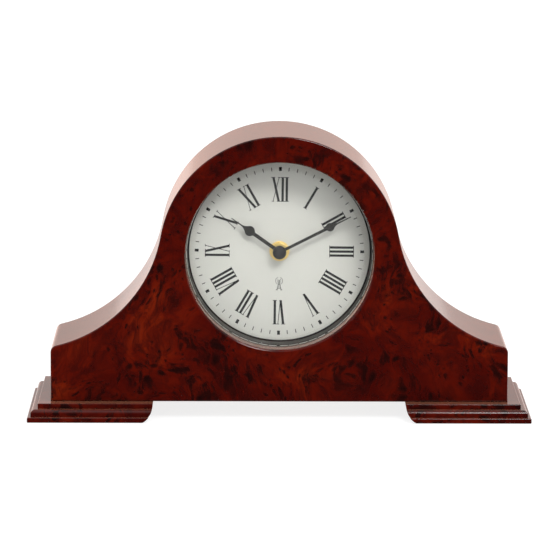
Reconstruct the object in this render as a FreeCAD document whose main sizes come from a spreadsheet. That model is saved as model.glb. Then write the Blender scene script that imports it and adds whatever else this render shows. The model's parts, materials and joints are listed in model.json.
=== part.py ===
import FreeCAD, Part
import math
import os

import Sketcher

# Mantel clock with a Napoleon hat case, in millimetres, +Z up, the dial facing -Y.
# The origin lies on the surface that the clock stands on, under the middle of its box.

DIMENSIONS = [
    # the case, measured from the lower front edge of its body
    ("total_width", 350.0, "overall width over the two feet"),
    ("body_depth", 90.0, "front face to back face of the body"),
    ("hump_radius", 83.8, "round hump of the front outline"),
    ("hump_height", 102.1, "middle of the hump above the body's lower edge"),
    ("flank_centre_across", 177.6, "middle of each hollow flank, sideways"),
    ("flank_centre_height", 133.2, "middle of each hollow flank, upwards"),
    ("shoulder_round", 5.0, "rounding between the flank and the end"),
    ("edge_round", 1.2, "eased front edge of the outline"),
    ("panel_thickness", 15.0, "front panel"),
    ("skin_thickness", 5.0, "bent top and end skin"),
    ("base_thickness", 9.0, "board between the ends"),
    ("back_thickness", 9.0, "rear panel"),
    # the feet
    ("slab_top", 3.6, "height of the foot's upper step"),
    ("slab_middle", 5.0, "height of the foot's ovolo step"),
    ("slab_bottom", 3.6, "height of the foot's lower step"),
    ("overhang_top", 8.6, "how far the upper step stands out"),
    ("overhang_middle", 13.4, "how far the ovolo step stands out"),
    ("overhang_bottom", 15.8, "how far the lower step stands out"),
    ("overhang_back", 5.0, "how far the foot stands out behind"),
    ("foot_inner_end", 87.9, "inner end of a foot from the middle"),
    ("foot_end_round", 14.0, "radius of the inner end's curve"),
    ("ovolo_round", 3.0, "rounding of the middle step"),
    ("pad_radius", 6.0, "felt pad"),
    ("pad_thickness", 1.2, "felt pad"),
    ("pad_proud", 0.4, "how far a pad stands below the foot"),
    # the dial opening and what fills it, depths from the front face
    ("opening_radius", 65.5, "round opening in the front panel"),
    ("opening_round", 2.0, "eased edge of the opening"),
    ("rebate_radius", 70.0, "rebate behind the opening"),
    ("rebate_depth", 12.0, "depth at which the rebate starts"),
    ("stack_radius", 69.7, "glass, spacer rings and dial"),
    ("glass_thickness", 2.0, "domed glass"),
    ("glass_rise", 8.0, "dome height above its flange"),
    ("glass_dome_radius", 450.0, "radius of the shallow middle of the dome"),
    ("glass_shoulder_start", 57.0, "where the dome starts to turn down"),
    ("glass_shoulder_round", 12.0, "radius of the turned down part"),
    ("ring_front_radius", 65.3, "satin ring's bore at the glass"),
    ("ring_back_radius", 64.9, "satin ring's bore at the dial"),
    ("gasket_radius", 63.7, "black ring's bore"),
    ("gasket_thickness", 1.5, "black ring"),
    ("dial_depth", 27.5, "front of the dial"),
    ("dial_thickness", 0.8, "dial plate"),
    # the hands
    ("hour_length", 41.0, "axis to the tip"),
    ("hour_spade_middle", 25.4, "axis to the middle of the spade"),
    ("hour_spade_radius", 3.55, "spade"),
    ("hour_shaft_half", 1.25, "half the shaft's width"),
    ("minute_length", 55.6, "axis to the tip"),
    ("minute_spade_middle", 39.4, "axis to the middle of the spade"),
    ("minute_spade_radius", 2.95, "spade"),
    ("minute_shaft_half", 1.0, "half the shaft's width"),
    ("needle_half", 0.45, "half the width of a hand's needle"),
    ("hand_thickness", 0.5, "sheet that the hands are cut from"),
    ("cap_radius", 4.7, "domed nut on the arbor"),
    ("shown_minutes", 10.53, "minutes past the hour at rest"),
    ("shown_hour", 10.0, "hour at rest"),
    # the movement, depths from its front face
    ("movement_depth", 28.8, "movement's front face behind the case's front face"),
    ("movement_half_width", 31.0, "half its width"),
    ("movement_top", 44.0, "above the axis"),
    ("movement_bottom", 48.0, "below the axis"),
    ("movement_thickness", 22.0, "front face to rear face"),
    ("housing_split", 10.0, "where the housing meets its cover"),
    ("housing_wall", 1.5, "moulded walls"),
    ("bush_radius", 4.0, "threaded bush"),
    ("bush_bore", 2.78, "its bore"),
    ("hour_tube_radius", 2.7, "tube of the hour wheel"),
    ("hour_tube_bore", 1.68, "its bore"),
    ("arbor_radius", 1.6, "minute arbor"),
    ("train_module", 0.3, "teeth of the going train"),
    ("cannon_module", 0.5, "teeth of the cannon pinion and its wheel"),
    ("hour_module", 0.48, "teeth of the hour wheel and its pinion"),
    ("pivot_radius", 0.5, "pivots of the train"),
    ("pivot_clearance", 0.06, "running clearance round a pivot"),
    ("battery_radius", 7.05, "AA cell"),
    ("battery_length", 49.5, "AA cell without its nub"),
    # the rear door
    ("door_half_width", 56.0, "half the opening's width"),
    ("door_above", 46.0, "opening above the dial's axis"),
    ("door_below", 54.0, "opening below the dial's axis"),
    ("door_gap", 0.5, "gap round the door"),
    ("door_thickness", 6.0, "door"),
    ("door_lip", 4.0, "width of the rebate's lip"),
    ("hinge_offset", 1.7, "hinge axis behind the body's back"),
    ("knuckle_radius", 1.5, "hinge knuckle"),
    ("leaf_thickness", 0.8, "hinge leaf"),
    ("hinge_pin_radius", 0.8, "hinge pin"),
]

doc = FreeCAD.newDocument("MantelClock")
sheet = doc.addObject("Spreadsheet::Sheet", "Dimensions")


class Size:
    """A length together with the spreadsheet expression that it comes from."""

    def __init__(self, number, text=None):
        self.number = float(number)
        self.text = text if text is not None else repr(float(number))

    def __add__(self, other):
        other = as_size(other)
        return Size(self.number + other.number, f"({self.text} + {other.text})")

    def __radd__(self, other):
        return as_size(other) + self

    def __sub__(self, other):
        other = as_size(other)
        return Size(self.number - other.number, f"({self.text} - {other.text})")

    def __rsub__(self, other):
        return as_size(other) - self

    def __mul__(self, other):
        other = as_size(other)
        return Size(self.number * other.number, f"({self.text} * {other.text})")

    def __rmul__(self, other):
        return as_size(other) * self

    def __truediv__(self, other):
        other = as_size(other)
        return Size(self.number / other.number, f"({self.text} / {other.text})")

    def __neg__(self):
        return Size(-self.number, f"(0 - {self.text})")


def as_size(value):
    return value if isinstance(value, Size) else Size(value)


def root(value):
    return Size(math.sqrt(value.number), f"sqrt({value.text})")


def bind(target, path, value):
    """Binds a property of the document object to the expression of a size."""
    target.setExpression(path, as_size(value).text)


class Named:
    """The sheet's cells as sizes: dim.body_depth and so on."""


dim = Named()
for row, (alias, number, note) in enumerate(DIMENSIONS, start=1):
    sheet.set(f"A{row}", alias)
    sheet.set(f"B{row}", repr(number))
    sheet.set(f"C{row}", note)
    sheet.setAlias(f"B{row}", alias)
    setattr(dim, alias, Size(number, f"Dimensions.{alias}"))
doc.recompute()

# ---------------------------------------------------------------- derived sizes

FOOT_HEIGHT = dim.slab_top + dim.slab_middle + dim.slab_bottom
TOTAL_DEPTH = dim.overhang_bottom + dim.body_depth + dim.overhang_back
BODY_HALF = dim.total_width / 2 - dim.overhang_bottom
FRONT_Y = dim.overhang_bottom - TOTAL_DEPTH / 2
BODY_Z = FOOT_HEIGHT + dim.pad_proud
AXIS_Z = BODY_Z + dim.hump_height
MOVEMENT_Y = FRONT_Y + dim.movement_depth

# ---------------------------------------------------------------- drawing helpers


def circle(u, v, radius):
    """A round loop for a sketch."""
    u, v, radius = as_size(u), as_size(v), as_size(radius)

    def draw(sketch):
        centre = FreeCAD.Vector(u.number, v.number, 0)
        shape = Part.Circle(centre, FreeCAD.Vector(0, 0, 1), radius.number)
        index = sketch.addGeometry(shape, False)
        hold_point(sketch, index, 3, u, v)
        hold(sketch, Sketcher.Constraint("Radius", index, radius.number), radius)

    return draw


def hold(sketch, constraint, value):
    """Adds a dimension and binds it to its size."""
    index = sketch.addConstraint(constraint)
    bind(sketch, f"Constraints[{index}]", value)


def hold_point(sketch, index, end, u, v):
    """Holds one point of a sketch at (u, v)."""
    for kind, value, axis in (("DistanceX", u, -2), ("DistanceY", v, -1)):
        if value.number == 0.0:
            sketch.addConstraint(Sketcher.Constraint("PointOnObject", index, end, axis))
        else:
            hold(sketch, Sketcher.Constraint(kind, -1, 1, index, end, value.number), value)


def outline(*points):
    """A closed loop through (u, v) points. A third value bends the run that starts there:
    the radius of its arc, positive where the loop turns left, negative where it turns right."""
    corners = [tuple(as_size(value) for value in point) for point in points]

    def draw(sketch):
        first = None
        previous = None
        for here, there in zip(corners, corners[1:] + corners[:1]):
            start = FreeCAD.Vector(here[0].number, here[1].number, 0)
            stop = FreeCAD.Vector(there[0].number, there[1].number, 0)
            if len(here) == 3:
                index, start_end, stop_end = add_arc(sketch, start, stop, here[2])
            else:
                index = sketch.addGeometry(Part.LineSegment(start, stop), False)
                start_end, stop_end = 1, 2
            hold_point(sketch, index, start_end, here[0], here[1])
            if previous is None:
                first = (index, start_end)
            else:
                sketch.addConstraint(Sketcher.Constraint("Coincident", *previous, index, start_end))
            previous = (index, stop_end)
        sketch.addConstraint(Sketcher.Constraint("Coincident", *previous, *first))

    return draw


def add_arc(sketch, start, stop, radius):
    """Adds the short arc from start to stop and returns its index and the two ends' numbers."""
    chord = stop - start
    middle = (start + stop) * 0.5
    reach = abs(radius.number)
    rise = math.sqrt(max(reach ** 2 - (chord.Length / 2) ** 2, 0.0))
    side = FreeCAD.Vector(-chord.y, chord.x, 0).normalize() * math.copysign(rise, radius.number)
    centre = middle + side
    from_angle = math.atan2(start.y - centre.y, start.x - centre.x)
    to_angle = math.atan2(stop.y - centre.y, stop.x - centre.x)
    turns_left = radius.number > 0
    if not turns_left:
        from_angle, to_angle = to_angle, from_angle
    round_shape = Part.Circle(centre, FreeCAD.Vector(0, 0, 1), reach)
    index = sketch.addGeometry(Part.ArcOfCircle(round_shape, from_angle, to_angle), False)
    bound = radius if turns_left else -radius
    hold(sketch, Sketcher.Constraint("Radius", index, reach), bound)
    return (index, 1, 2) if turns_left else (index, 2, 1)


def rectangle(u_low, u_high, v_low, v_high):
    return outline((u_low, v_low), (u_high, v_low), (u_high, v_high), (u_low, v_high))


def turned_by(angle, u, v):
    """The point (u, v) turned clockwise about the origin, by an angle in degrees."""
    sine = math.sin(math.radians(angle))
    cosine = math.cos(math.radians(angle))
    return as_size(u) * cosine + as_size(v) * sine, as_size(v) * cosine - as_size(u) * sine


# ---------------------------------------------------------------- one class for every piece

NODES = []
FORWARD = {"XY": 1, "XZ": -1, "YZ": 1}


class Piece:
    """One sub-part: a body whose features are added in order and whose place is bound."""

    def __init__(self, label, x=0, y=0, z=0, turn=0, node=True):
        self.body = doc.addObject("PartDesign::Body", label)
        self.body.Label = label
        self.body.AllowCompound = True
        self.place(x, y, z)
        if turn:
            self.body.Placement.Rotation = FreeCAD.Rotation(FreeCAD.Vector(0, 1, 0), turn)
        if node:
            NODES.append(self.body)

    def place(self, x, y, z):
        for axis, value in zip("xyz", (x, y, z)):
            bind(self.body, f".Placement.Base.{axis}", value)

    def origin_part(self, role):
        return next(part for part in self.body.Origin.OriginFeatures if part.Role == role)

    def sketch(self, plane, start, loops):
        """A sketch on one of the origin planes, moved by start along the plane's forward axis."""
        sketch = self.body.newObject("Sketcher::SketchObject", f"{self.body.Name}_sketch")
        sketch.AttachmentSupport = [(self.origin_part(f"{plane}_Plane"), "")]
        sketch.MapMode = "FlatFace"
        bind(sketch, ".AttachmentOffset.Base.z", as_size(start) * FORWARD[plane])
        for loop in loops:
            loop(sketch)
        return sketch

    def pad(self, plane, start, length, *loops):
        """Adds the loops' area, from start and as long as length, along +Z, +Y or +X."""
        feature = self.body.newObject("PartDesign::Pad", f"{self.body.Name}_pad")
        feature.Profile = self.sketch(plane, start, loops)
        bind(feature, "Length", length)
        feature.Reversed = FORWARD[plane] < 0
        return feature

    def pocket(self, plane, start, length, *loops):
        """Cuts the loops' area away, over the same stretch as pad would fill."""
        doc.recompute()
        before = self.body.Shape.Volume
        feature = self.body.newObject("PartDesign::Pocket", f"{self.body.Name}_pocket")
        feature.Profile = self.sketch(plane, start, loops)
        bind(feature, "Length", length)
        feature.Reversed = FORWARD[plane] > 0
        doc.recompute()
        if self.body.Shape.Volume >= before:
            raise RuntimeError(f"a pocket of {self.body.Label} cuts nothing")
        return feature

    def turn(self, *loops):
        """Spins loops of (radius, depth) about the piece's own Y axis."""
        feature = self.body.newObject("PartDesign::Revolution", f"{self.body.Name}_turned")
        sketch = self.sketch("XY", 0, loops)
        feature.Profile = sketch
        feature.ReferenceAxis = (sketch, ["V_Axis"])
        feature.Angle = 360.0
        return feature

    def ease(self, kind, size, chosen):
        """Rounds (Fillet) or bevels (Chamfer) the edges that chosen(edge) picks."""
        doc.recompute()
        tip = self.body.Tip
        names = [f"Edge{i}" for i, edge in enumerate(tip.Shape.Edges, start=1) if chosen(edge)]
        if not names:
            raise RuntimeError(f"{self.body.Label} has no edge to ease")
        feature = self.body.newObject(f"PartDesign::{kind}", f"{self.body.Name}_{kind.lower()}")
        feature.Base = (tip, names)
        bind(feature, "Radius" if kind == "Fillet" else "Size", size)
        return feature

    def repeat(self, feature, count):
        """Repeats a feature round the piece's own Y axis."""
        pattern = self.body.newObject("PartDesign::PolarPattern", f"{self.body.Name}_pattern")
        pattern.Originals = [feature]
        pattern.Axis = (self.origin_part("Y_Axis"), [""])
        pattern.Angle = 360.0
        pattern.Occurrences = count
        self.body.Tip = pattern
        return pattern


def points_of(edge):
    return [vertex.Point for vertex in edge.Vertexes]


def along(axis):
    """Picks straight edges that run along x, y or z."""

    def chosen(edge):
        ends = points_of(edge)
        if len(ends) != 2 or edge.Curve.TypeId != "Part::GeomLine":
            return False
        run = ends[1] - ends[0]
        return abs(abs(getattr(run, axis)) - run.Length) < 1e-6

    return chosen


def lying_at(axis, value, tolerance=1e-4):
    """Picks edges whose every point has this coordinate."""
    level = as_size(value).number

    def chosen(edge):
        samples = edge.discretize(5)
        return all(abs(getattr(point, axis) - level) < tolerance for point in samples)

    return chosen


def both(first, second):
    return lambda edge: first(edge) and second(edge)


def copies(label, source, places):
    """A node that holds the same piece at several places, as separate solids."""
    doc.recompute()
    solids = []
    for place in places:
        solid = source.body.Shape.copy()
        solid.Placement = place.multiply(solid.Placement)
        solids.append(solid)
    feature = doc.addObject("Part::Feature", label)
    feature.Label = label
    feature.Shape = Part.makeCompound(solids)
    NODES.append(feature)
    return feature


def shift(x=0, y=0, z=0, turn=0):
    """A placement moved by sizes and turned about the Y axis, in degrees."""
    base = FreeCAD.Vector(as_size(x).number, as_size(y).number, as_size(z).number)
    return FreeCAD.Placement(base, FreeCAD.Rotation(FreeCAD.Vector(0, 1, 0), turn))


# ---------------------------------------------------------------- the wooden case


def case_outline(inset, lower):
    """The Napoleon hat: a round hump, two hollow flanks and upright ends, down to lower."""
    across = dim.flank_centre_across
    rise = dim.flank_centre_height - dim.hump_height
    reach = root(across * across + rise * rise)
    hump = dim.hump_radius - inset
    flank = reach - dim.hump_radius + inset
    side = BODY_HALF - inset
    join_u = across * hump / reach
    join_v = dim.hump_height + rise * hump / reach
    fall = across - side
    shoulder = dim.flank_centre_height - root(flank * flank - fall * fall)
    top = dim.hump_height + hump
    return outline(
        (-side, lower), (side, lower),
        (side, shoulder, -flank), (join_u, join_v, hump),
        (0, top, hump), (-join_u, join_v, -flank), (-side, shoulder))


def is_shoulder(edge):
    """The edge along Y where a flank meets an end."""
    if not along("y")(edge):
        return False
    point = points_of(edge)[0]
    return abs(abs(point.x) - BODY_HALF.number) < 1e-3 and point.z > dim.base_thickness.number


def build_front_panel():
    panel = Piece("front_panel", 0, FRONT_Y, BODY_Z)
    panel.pad("XZ", 0, dim.panel_thickness, case_outline(0, 0),
              circle(0, dim.hump_height, dim.opening_radius))
    panel.pocket("XZ", dim.rebate_depth, dim.panel_thickness - dim.rebate_depth,
                 circle(0, dim.hump_height, dim.rebate_radius))
    panel.pocket("XZ", CLAMP_SCREW_END, dim.panel_thickness - CLAMP_SCREW_END,
                 *[circle(u, dim.hump_height + v, CLAMP_SCREW + PILOT_CLEARANCE)
                   for u, v in clamp_screw_points()])
    panel.ease("Fillet", dim.shoulder_round, is_shoulder)
    opening = dim.opening_radius.number

    def is_opening(edge):
        return edge.Curve.TypeId == "Part::GeomCircle" and abs(edge.Curve.Radius - opening) < 1e-3

    at_front = lying_at("y", 0)
    panel.ease("Fillet", dim.opening_round, both(at_front, is_opening))
    panel.ease("Fillet", dim.edge_round, lambda edge: at_front(edge) and not is_opening(edge)
               and not is_round_opening(edge))


def is_round_opening(edge):
    """A circle about the dial's axis, at the front face."""
    if edge.Curve.TypeId != "Part::GeomCircle":
        return False
    limit = (dim.opening_radius + dim.opening_round).number + 0.1
    return edge.Curve.Radius < limit and abs(edge.Curve.Center.z - dim.hump_height.number) < 1e-3


def build_shell():
    shell = Piece("case_shell", 0, FRONT_Y, BODY_Z)
    length = dim.body_depth - dim.panel_thickness
    shell.pad("XZ", dim.panel_thickness, length, case_outline(0, 0))
    shell.pocket("XZ", dim.panel_thickness, length, case_outline(dim.skin_thickness, -1))
    shell.ease("Fillet", dim.shoulder_round, is_shoulder)


PANEL_FIT = 0.1
BASE_SCREW = 2.0
BASE_SCREW_HEAD = 3.9
BASE_SCREW_HEAD_DEPTH = 2.6
PILOT_CLEARANCE = 0.05
BASE_SCREW_POINTS = [(-148.0, 8.0), (-148.0, 50.0), (-106.0, 14.0), (-106.0, 50.0)]
PAD_POINTS = [(-162.0, -2.0), (-162.0, 82.0), (-108.0, -2.0), (-108.0, 82.0)]


def mirrored(points):
    return points + [(-u, v) for u, v in points]


def build_base_board():
    board = Piece("base_board", 0, FRONT_Y, BODY_Z)
    half = BODY_HALF - dim.skin_thickness - PANEL_FIT
    board.pad("XY", 0, dim.base_thickness,
              rectangle(-half, half, dim.panel_thickness, dim.body_depth))
    board.pocket("XY", 0, dim.base_thickness - 2,
                 *[circle(u, v + dim.panel_thickness, BASE_SCREW + PILOT_CLEARANCE)
                   for u, v in mirrored(BASE_SCREW_POINTS)])


def build_back_panel():
    panel = Piece("back_panel", 0, FRONT_Y, BODY_Z)
    start = dim.body_depth - dim.back_thickness
    half = dim.door_half_width
    low = dim.hump_height - dim.door_below
    high = dim.hump_height + dim.door_above
    lip = dim.door_lip
    panel.pad("XZ", start, dim.back_thickness,
              case_outline(dim.skin_thickness + PANEL_FIT, dim.base_thickness))
    panel.pocket("XZ", start, dim.back_thickness,
                 rectangle(lip - half, half - lip, low + lip, high - lip))
    rebate = dim.door_thickness + DOOR_LIP_GAP
    panel.pocket("XZ", dim.body_depth - rebate, rebate, rectangle(-half, half, low, high))
    panel.pocket("XZ", start, MAGNET_THICKNESS,
                 circle(catch_across(), catch_height(), MAGNET_RADIUS + PILOT_CLEARANCE))
    panel.pocket("XZ", dim.body_depth - HINGE_SCREW_LENGTH, HINGE_SCREW_LENGTH,
                 *[circle(half + LEAF_SCREW_ACROSS, height + v, HINGE_SCREW + PILOT_CLEARANCE)
                   for height in hinge_heights() for v in HINGE_SCREW_UP])
    panel.pocket("XZ", start, dim.back_thickness,
                 *[circle(u, v, BACK_SCREW + PILOT_CLEARANCE) for u, v in back_screw_points()])


BACK_SCREW = 1.6
BACK_SCREW_HEAD = 3.2
FRAME_DEPTH = 10.0
FRAME_WIDTH = 10.0
FRAME_RAIL = 8.0


def back_screw_points():
    """Points on the middle of the frame: hump, flanks, ends and bottom rail."""
    inset = dim.skin_thickness + FRAME_WIDTH / 2
    hump = turned_by(30.0, 0, dim.hump_radius - inset)
    across = dim.flank_centre_across
    rise = dim.flank_centre_height - dim.hump_height
    flank = turned_by(220.0, 0, root(across * across + rise * rise) - dim.hump_radius + inset)
    rail = dim.base_thickness + FRAME_RAIL / 2
    points = [(hump[0], dim.hump_height + hump[1]),
              (across + flank[0], dim.flank_centre_height + flank[1]),
              (BODY_HALF - inset, rail + 1), (as_size(70.0), rail)]
    return mirrored(points)


def build_back_screws():
    """Round-headed wood screws that hold the back to its frame."""
    screw = Piece("back_screw_pattern", node=False)
    head = 1.6
    screw.turn(outline((0, -dim.back_thickness - 7), (BACK_SCREW, -dim.back_thickness - 5),
                       (BACK_SCREW, 0), (BACK_SCREW_HEAD, 0), (BACK_SCREW_HEAD - 0.9, head),
                       (0, head)))
    copies("back_screws", screw, [shift(u, FRONT_Y + dim.body_depth, BODY_Z + v)
                                  for u, v in back_screw_points()])


def build_back_frame():
    """The frame glued inside the skin, that the back is screwed to."""
    frame = Piece("back_frame", 0, FRONT_Y, BODY_Z)
    start = dim.body_depth - dim.back_thickness - FRAME_DEPTH
    frame.pad("XZ", start, FRAME_DEPTH,
              case_outline(dim.skin_thickness + PANEL_FIT, dim.base_thickness),
              case_outline(dim.skin_thickness + FRAME_WIDTH, dim.base_thickness + FRAME_RAIL))
    frame.pocket("XZ", start + 2, FRAME_DEPTH - 2,
                 *[circle(u, v, BACK_SCREW + PILOT_CLEARANCE) for u, v in back_screw_points()])


def build_glue_blocks():
    """Triangular blocks that stiffen the front panel on the base board."""
    block = Piece("glue_block_pattern", node=False)
    leg = 15.0
    length = 40.0
    block.pad("YZ", -length / 2, length, outline((0, 0), (leg, 0), (0, leg)))
    copies("glue_blocks", block, [
        shift(u, FRONT_Y + dim.panel_thickness, BODY_Z + dim.base_thickness)
        for u in (-118.0, -40.0, 40.0, 118.0)])


def build_feet():
    """The left foot, moulded in front and outside and plain behind, and its mirror image."""
    foot = Piece("left_foot", 0, FRONT_Y, dim.pad_proud)
    inner = -dim.foot_inner_end
    back = dim.body_depth + dim.overhang_back
    steps = [
        (0, dim.slab_bottom, dim.overhang_bottom),
        (dim.slab_bottom, dim.slab_middle, dim.overhang_middle),
        (dim.slab_bottom + dim.slab_middle, dim.slab_top, dim.overhang_top),
    ]
    for start, thickness, overhang in steps:
        foot.pad("XY", start, thickness,
                 rectangle(-BODY_HALF - overhang, inner, -overhang, back))
    turn = dim.foot_end_round
    drop = root(turn * turn - FOOT_HEIGHT * FOOT_HEIGHT)
    below = 1.0
    foot.pocket("XZ", -dim.overhang_bottom - 1, back + dim.overhang_bottom + 2,
                outline((inner - turn + drop, 0, turn), (inner, FOOT_HEIGHT),
                        (inner + 2, FOOT_HEIGHT), (inner + 2, -below),
                        (inner - turn + drop, -below)))
    foot.pocket("XY", 0, FOOT_HEIGHT,
                *[circle(u, v + dim.panel_thickness, BASE_SCREW + PILOT_CLEARANCE)
                  for u, v in BASE_SCREW_POINTS])
    foot.pocket("XY", 0, BASE_SCREW_HEAD_DEPTH,
                *[circle(u, v + dim.panel_thickness, BASE_SCREW_HEAD + 0.3)
                  for u, v in BASE_SCREW_POINTS])
    foot.pocket("XY", 0, dim.pad_thickness - dim.pad_proud,
                *[circle(u, v, dim.pad_radius + 0.1) for u, v in PAD_POINTS])
    foot.ease("Fillet", dim.ovolo_round, foot_edges(
        dim.slab_bottom + dim.slab_middle, dim.overhang_middle))
    foot.ease("Fillet", 0.8, foot_edges(dim.slab_bottom, dim.overhang_bottom))
    foot.ease("Fillet", 0.8, foot_edges(0, dim.overhang_bottom))
    foot.ease("Fillet", 0.6, foot_edges(FOOT_HEIGHT, dim.overhang_top))
    mirror = doc.addObject("Part::Mirroring", "right_foot")
    mirror.Label = "right_foot"
    mirror.Source = foot.body
    mirror.Normal = FreeCAD.Vector(1, 0, 0)
    NODES.append(mirror)


def foot_edges(level, overhang):
    """The front and outer edges of one step of the foot, at one height."""
    height = as_size(level).number
    front = -overhang.number
    outer = -(BODY_HALF + overhang).number

    def chosen(edge):
        if not lying_at("z", height)(edge):
            return False
        samples = edge.discretize(3)
        on_front = all(abs(point.y - front) < 1e-3 for point in samples)
        on_side = all(abs(point.x - outer) < 1e-3 for point in samples)
        return on_front or on_side

    return chosen


def build_foot_screws():
    screw = Piece("foot_screw_pattern", node=False)
    length = FOOT_HEIGHT + dim.base_thickness - 3
    screw.pad("XY", 0.4, 2.0, circle(0, 0, BASE_SCREW_HEAD))
    screw.pad("XY", 2.4, length - 2.4, circle(0, 0, BASE_SCREW))
    slot = 0.5
    screw.pocket("XY", 0.4, 0.9, rectangle(1 - BASE_SCREW_HEAD, BASE_SCREW_HEAD - 1, -slot, slot))
    copies("foot_screws", screw, [
        shift(u, FRONT_Y + dim.panel_thickness + v, dim.pad_proud)
        for u, v in mirrored(BASE_SCREW_POINTS)])


def build_felt_pads():
    pad = Piece("felt_pad_pattern", node=False)
    pad.pad("XY", 0, dim.pad_thickness, circle(0, 0, dim.pad_radius))
    copies("felt_pads", pad, [shift(u, FRONT_Y + v, 0) for u, v in mirrored(PAD_POINTS)])


# ---------------------------------------------------------------- glass, rings and dial


def build_glass():
    """A domed glass of even thickness: a shallow middle, a turned down shoulder and a flange."""
    lens = Piece("glass_lens", 0, FRONT_Y, AXIS_Z)
    thickness = dim.glass_thickness
    dome = dim.glass_dome_radius
    shoulder = dim.glass_shoulder_round
    start = dim.glass_shoulder_start
    front = dim.rebate_depth + 0.3
    back = front + thickness
    apex = front - dim.glass_rise
    lean = root(dome * dome - start * start) / dome
    turn_u = start * (dome - shoulder) / dome
    turn_v = apex + dome - (dome - shoulder) * lean
    inner_dome = dome - thickness
    inner_shoulder = shoulder - thickness
    outer_rise = turn_v - front
    inner_rise = turn_v - back
    outer_rim = turn_u + root(shoulder * shoulder - outer_rise * outer_rise)
    inner_rim = turn_u + root(inner_shoulder * inner_shoulder - inner_rise * inner_rise)
    lens.turn(outline(
        (0, apex, dome), (start, apex + dome - dome * lean, shoulder), (outer_rim, front),
        (dim.stack_radius, front), (dim.stack_radius, back), (inner_rim, back, -inner_shoulder),
        (start * inner_dome / dome, apex + dome - inner_dome * lean, -inner_dome),
        (0, apex + thickness)))


def build_rings():
    """The seal in front of the glass, the satin ring behind it and the black ring on the dial."""
    front = dim.rebate_depth + 0.3
    back = front + dim.glass_thickness
    seal = Piece("glass_seal", 0, FRONT_Y, AXIS_Z)
    seal.turn(outline((dim.opening_radius + 0.3, dim.rebate_depth), (dim.stack_radius, dim.rebate_depth),
                      (dim.stack_radius, front), (dim.opening_radius + 0.3, front)))
    ring = Piece("satin_ring", 0, FRONT_Y, AXIS_Z)
    end = dim.dial_depth - dim.gasket_thickness
    ring.turn(outline((dim.ring_front_radius, back), (dim.stack_radius, back),
                      (dim.stack_radius, back + 2), (dim.stack_radius - 1.6, back + 2),
                      (dim.stack_radius - 1.6, end), (dim.ring_back_radius, end)))
    gasket = Piece("dial_gasket", 0, FRONT_Y, AXIS_Z)
    gasket.turn(outline((dim.gasket_radius, end), (dim.stack_radius, end),
                        (dim.stack_radius, dim.dial_depth), (dim.gasket_radius, dim.dial_depth)))


def build_dial():
    dial = Piece("dial_plate", 0, FRONT_Y, AXIS_Z)
    dial.pad("XZ", dim.dial_depth, dim.dial_thickness, circle(0, 0, dim.stack_radius),
             circle(0, 0, dim.bush_radius + 0.1))


CLAMP_ANGLES = (45.0, 135.0, 225.0, 315.0)
CLAMP_WIDTH = 12.0
CLAMP_SHEET = 1.2
CLAMP_REACH = 75.2
CLAMP_SCREW = 1.3
CLAMP_SCREW_HEAD = 2.4
CLAMP_SCREW_END = 5.0


def clamp_screw_points():
    return [turned_by(angle, CLAMP_REACH, 0) for angle in CLAMP_ANGLES]


def build_clamps():
    """Four bent steel clips that hold the glass, the rings and the dial against the panel."""
    clamp = Piece("dial_clamps", 0, FRONT_Y, AXIS_Z, turn=CLAMP_ANGLES[0])
    foot = dim.panel_thickness
    rear = dim.dial_depth + dim.dial_thickness
    inner = dim.stack_radius - 4
    riser = dim.stack_radius + 0.4
    feature = clamp.pad("XY", -CLAMP_WIDTH / 2, CLAMP_WIDTH, outline(
        (riser, foot), (CLAMP_REACH + 2.8, foot), (CLAMP_REACH + 2.8, foot + CLAMP_SHEET),
        (riser + CLAMP_SHEET, foot + CLAMP_SHEET), (riser + CLAMP_SHEET, rear + CLAMP_SHEET),
        (inner, rear + CLAMP_SHEET), (inner, rear), (riser, rear)))
    hole = clamp.pocket("XZ", foot - 1, CLAMP_SHEET + 2, circle(CLAMP_REACH, 0, CLAMP_SCREW + 0.1))
    pattern = clamp.repeat(feature, len(CLAMP_ANGLES))
    pattern.Originals = [feature, hole]
    screw = Piece("clamp_screw_pattern", node=False)
    seat = dim.panel_thickness + CLAMP_SHEET
    screw.turn(outline((0, CLAMP_SCREW_END), (CLAMP_SCREW, CLAMP_SCREW_END + 1),
                       (CLAMP_SCREW, seat), (CLAMP_SCREW_HEAD, seat),
                       (CLAMP_SCREW_HEAD - 0.6, seat + 1.4), (0, seat + 1.4)))
    copies("clamp_screws", screw, [shift(u, FRONT_Y, AXIS_Z + v) for u, v in clamp_screw_points()])


# ---------------------------------------------------------------- hands

MINUTE_ANGLE = (dim.shown_minutes * 6).number
HOUR_ANGLE = (dim.shown_hour * 30 + dim.shown_minutes / 2).number
MINUTE_HAND_DEPTH = 21.0
HOUR_HAND_DEPTH = 22.9
SLANT = math.sqrt(0.5)


def spade(shaft, middle, radius, length, boss):
    """A spade hand that points up: shaft, round spade, hollow taper and needle."""
    needle = dim.needle_half
    hollow = (radius * SLANT - needle) / (1 - SLANT)
    start = boss * 0.7
    neck = middle - root(radius * radius - shaft * shaft)
    waist = middle + radius * SLANT
    needle_start = waist + hollow * SLANT
    tip = needle * 0.6
    side = radius * SLANT
    return outline(
        (-shaft, start), (shaft, start), (shaft, neck, radius), (side, waist, -hollow),
        (needle, needle_start), (tip, length), (-tip, length),
        (-needle, needle_start, -hollow), (-side, waist, radius), (-shaft, neck))


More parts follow.
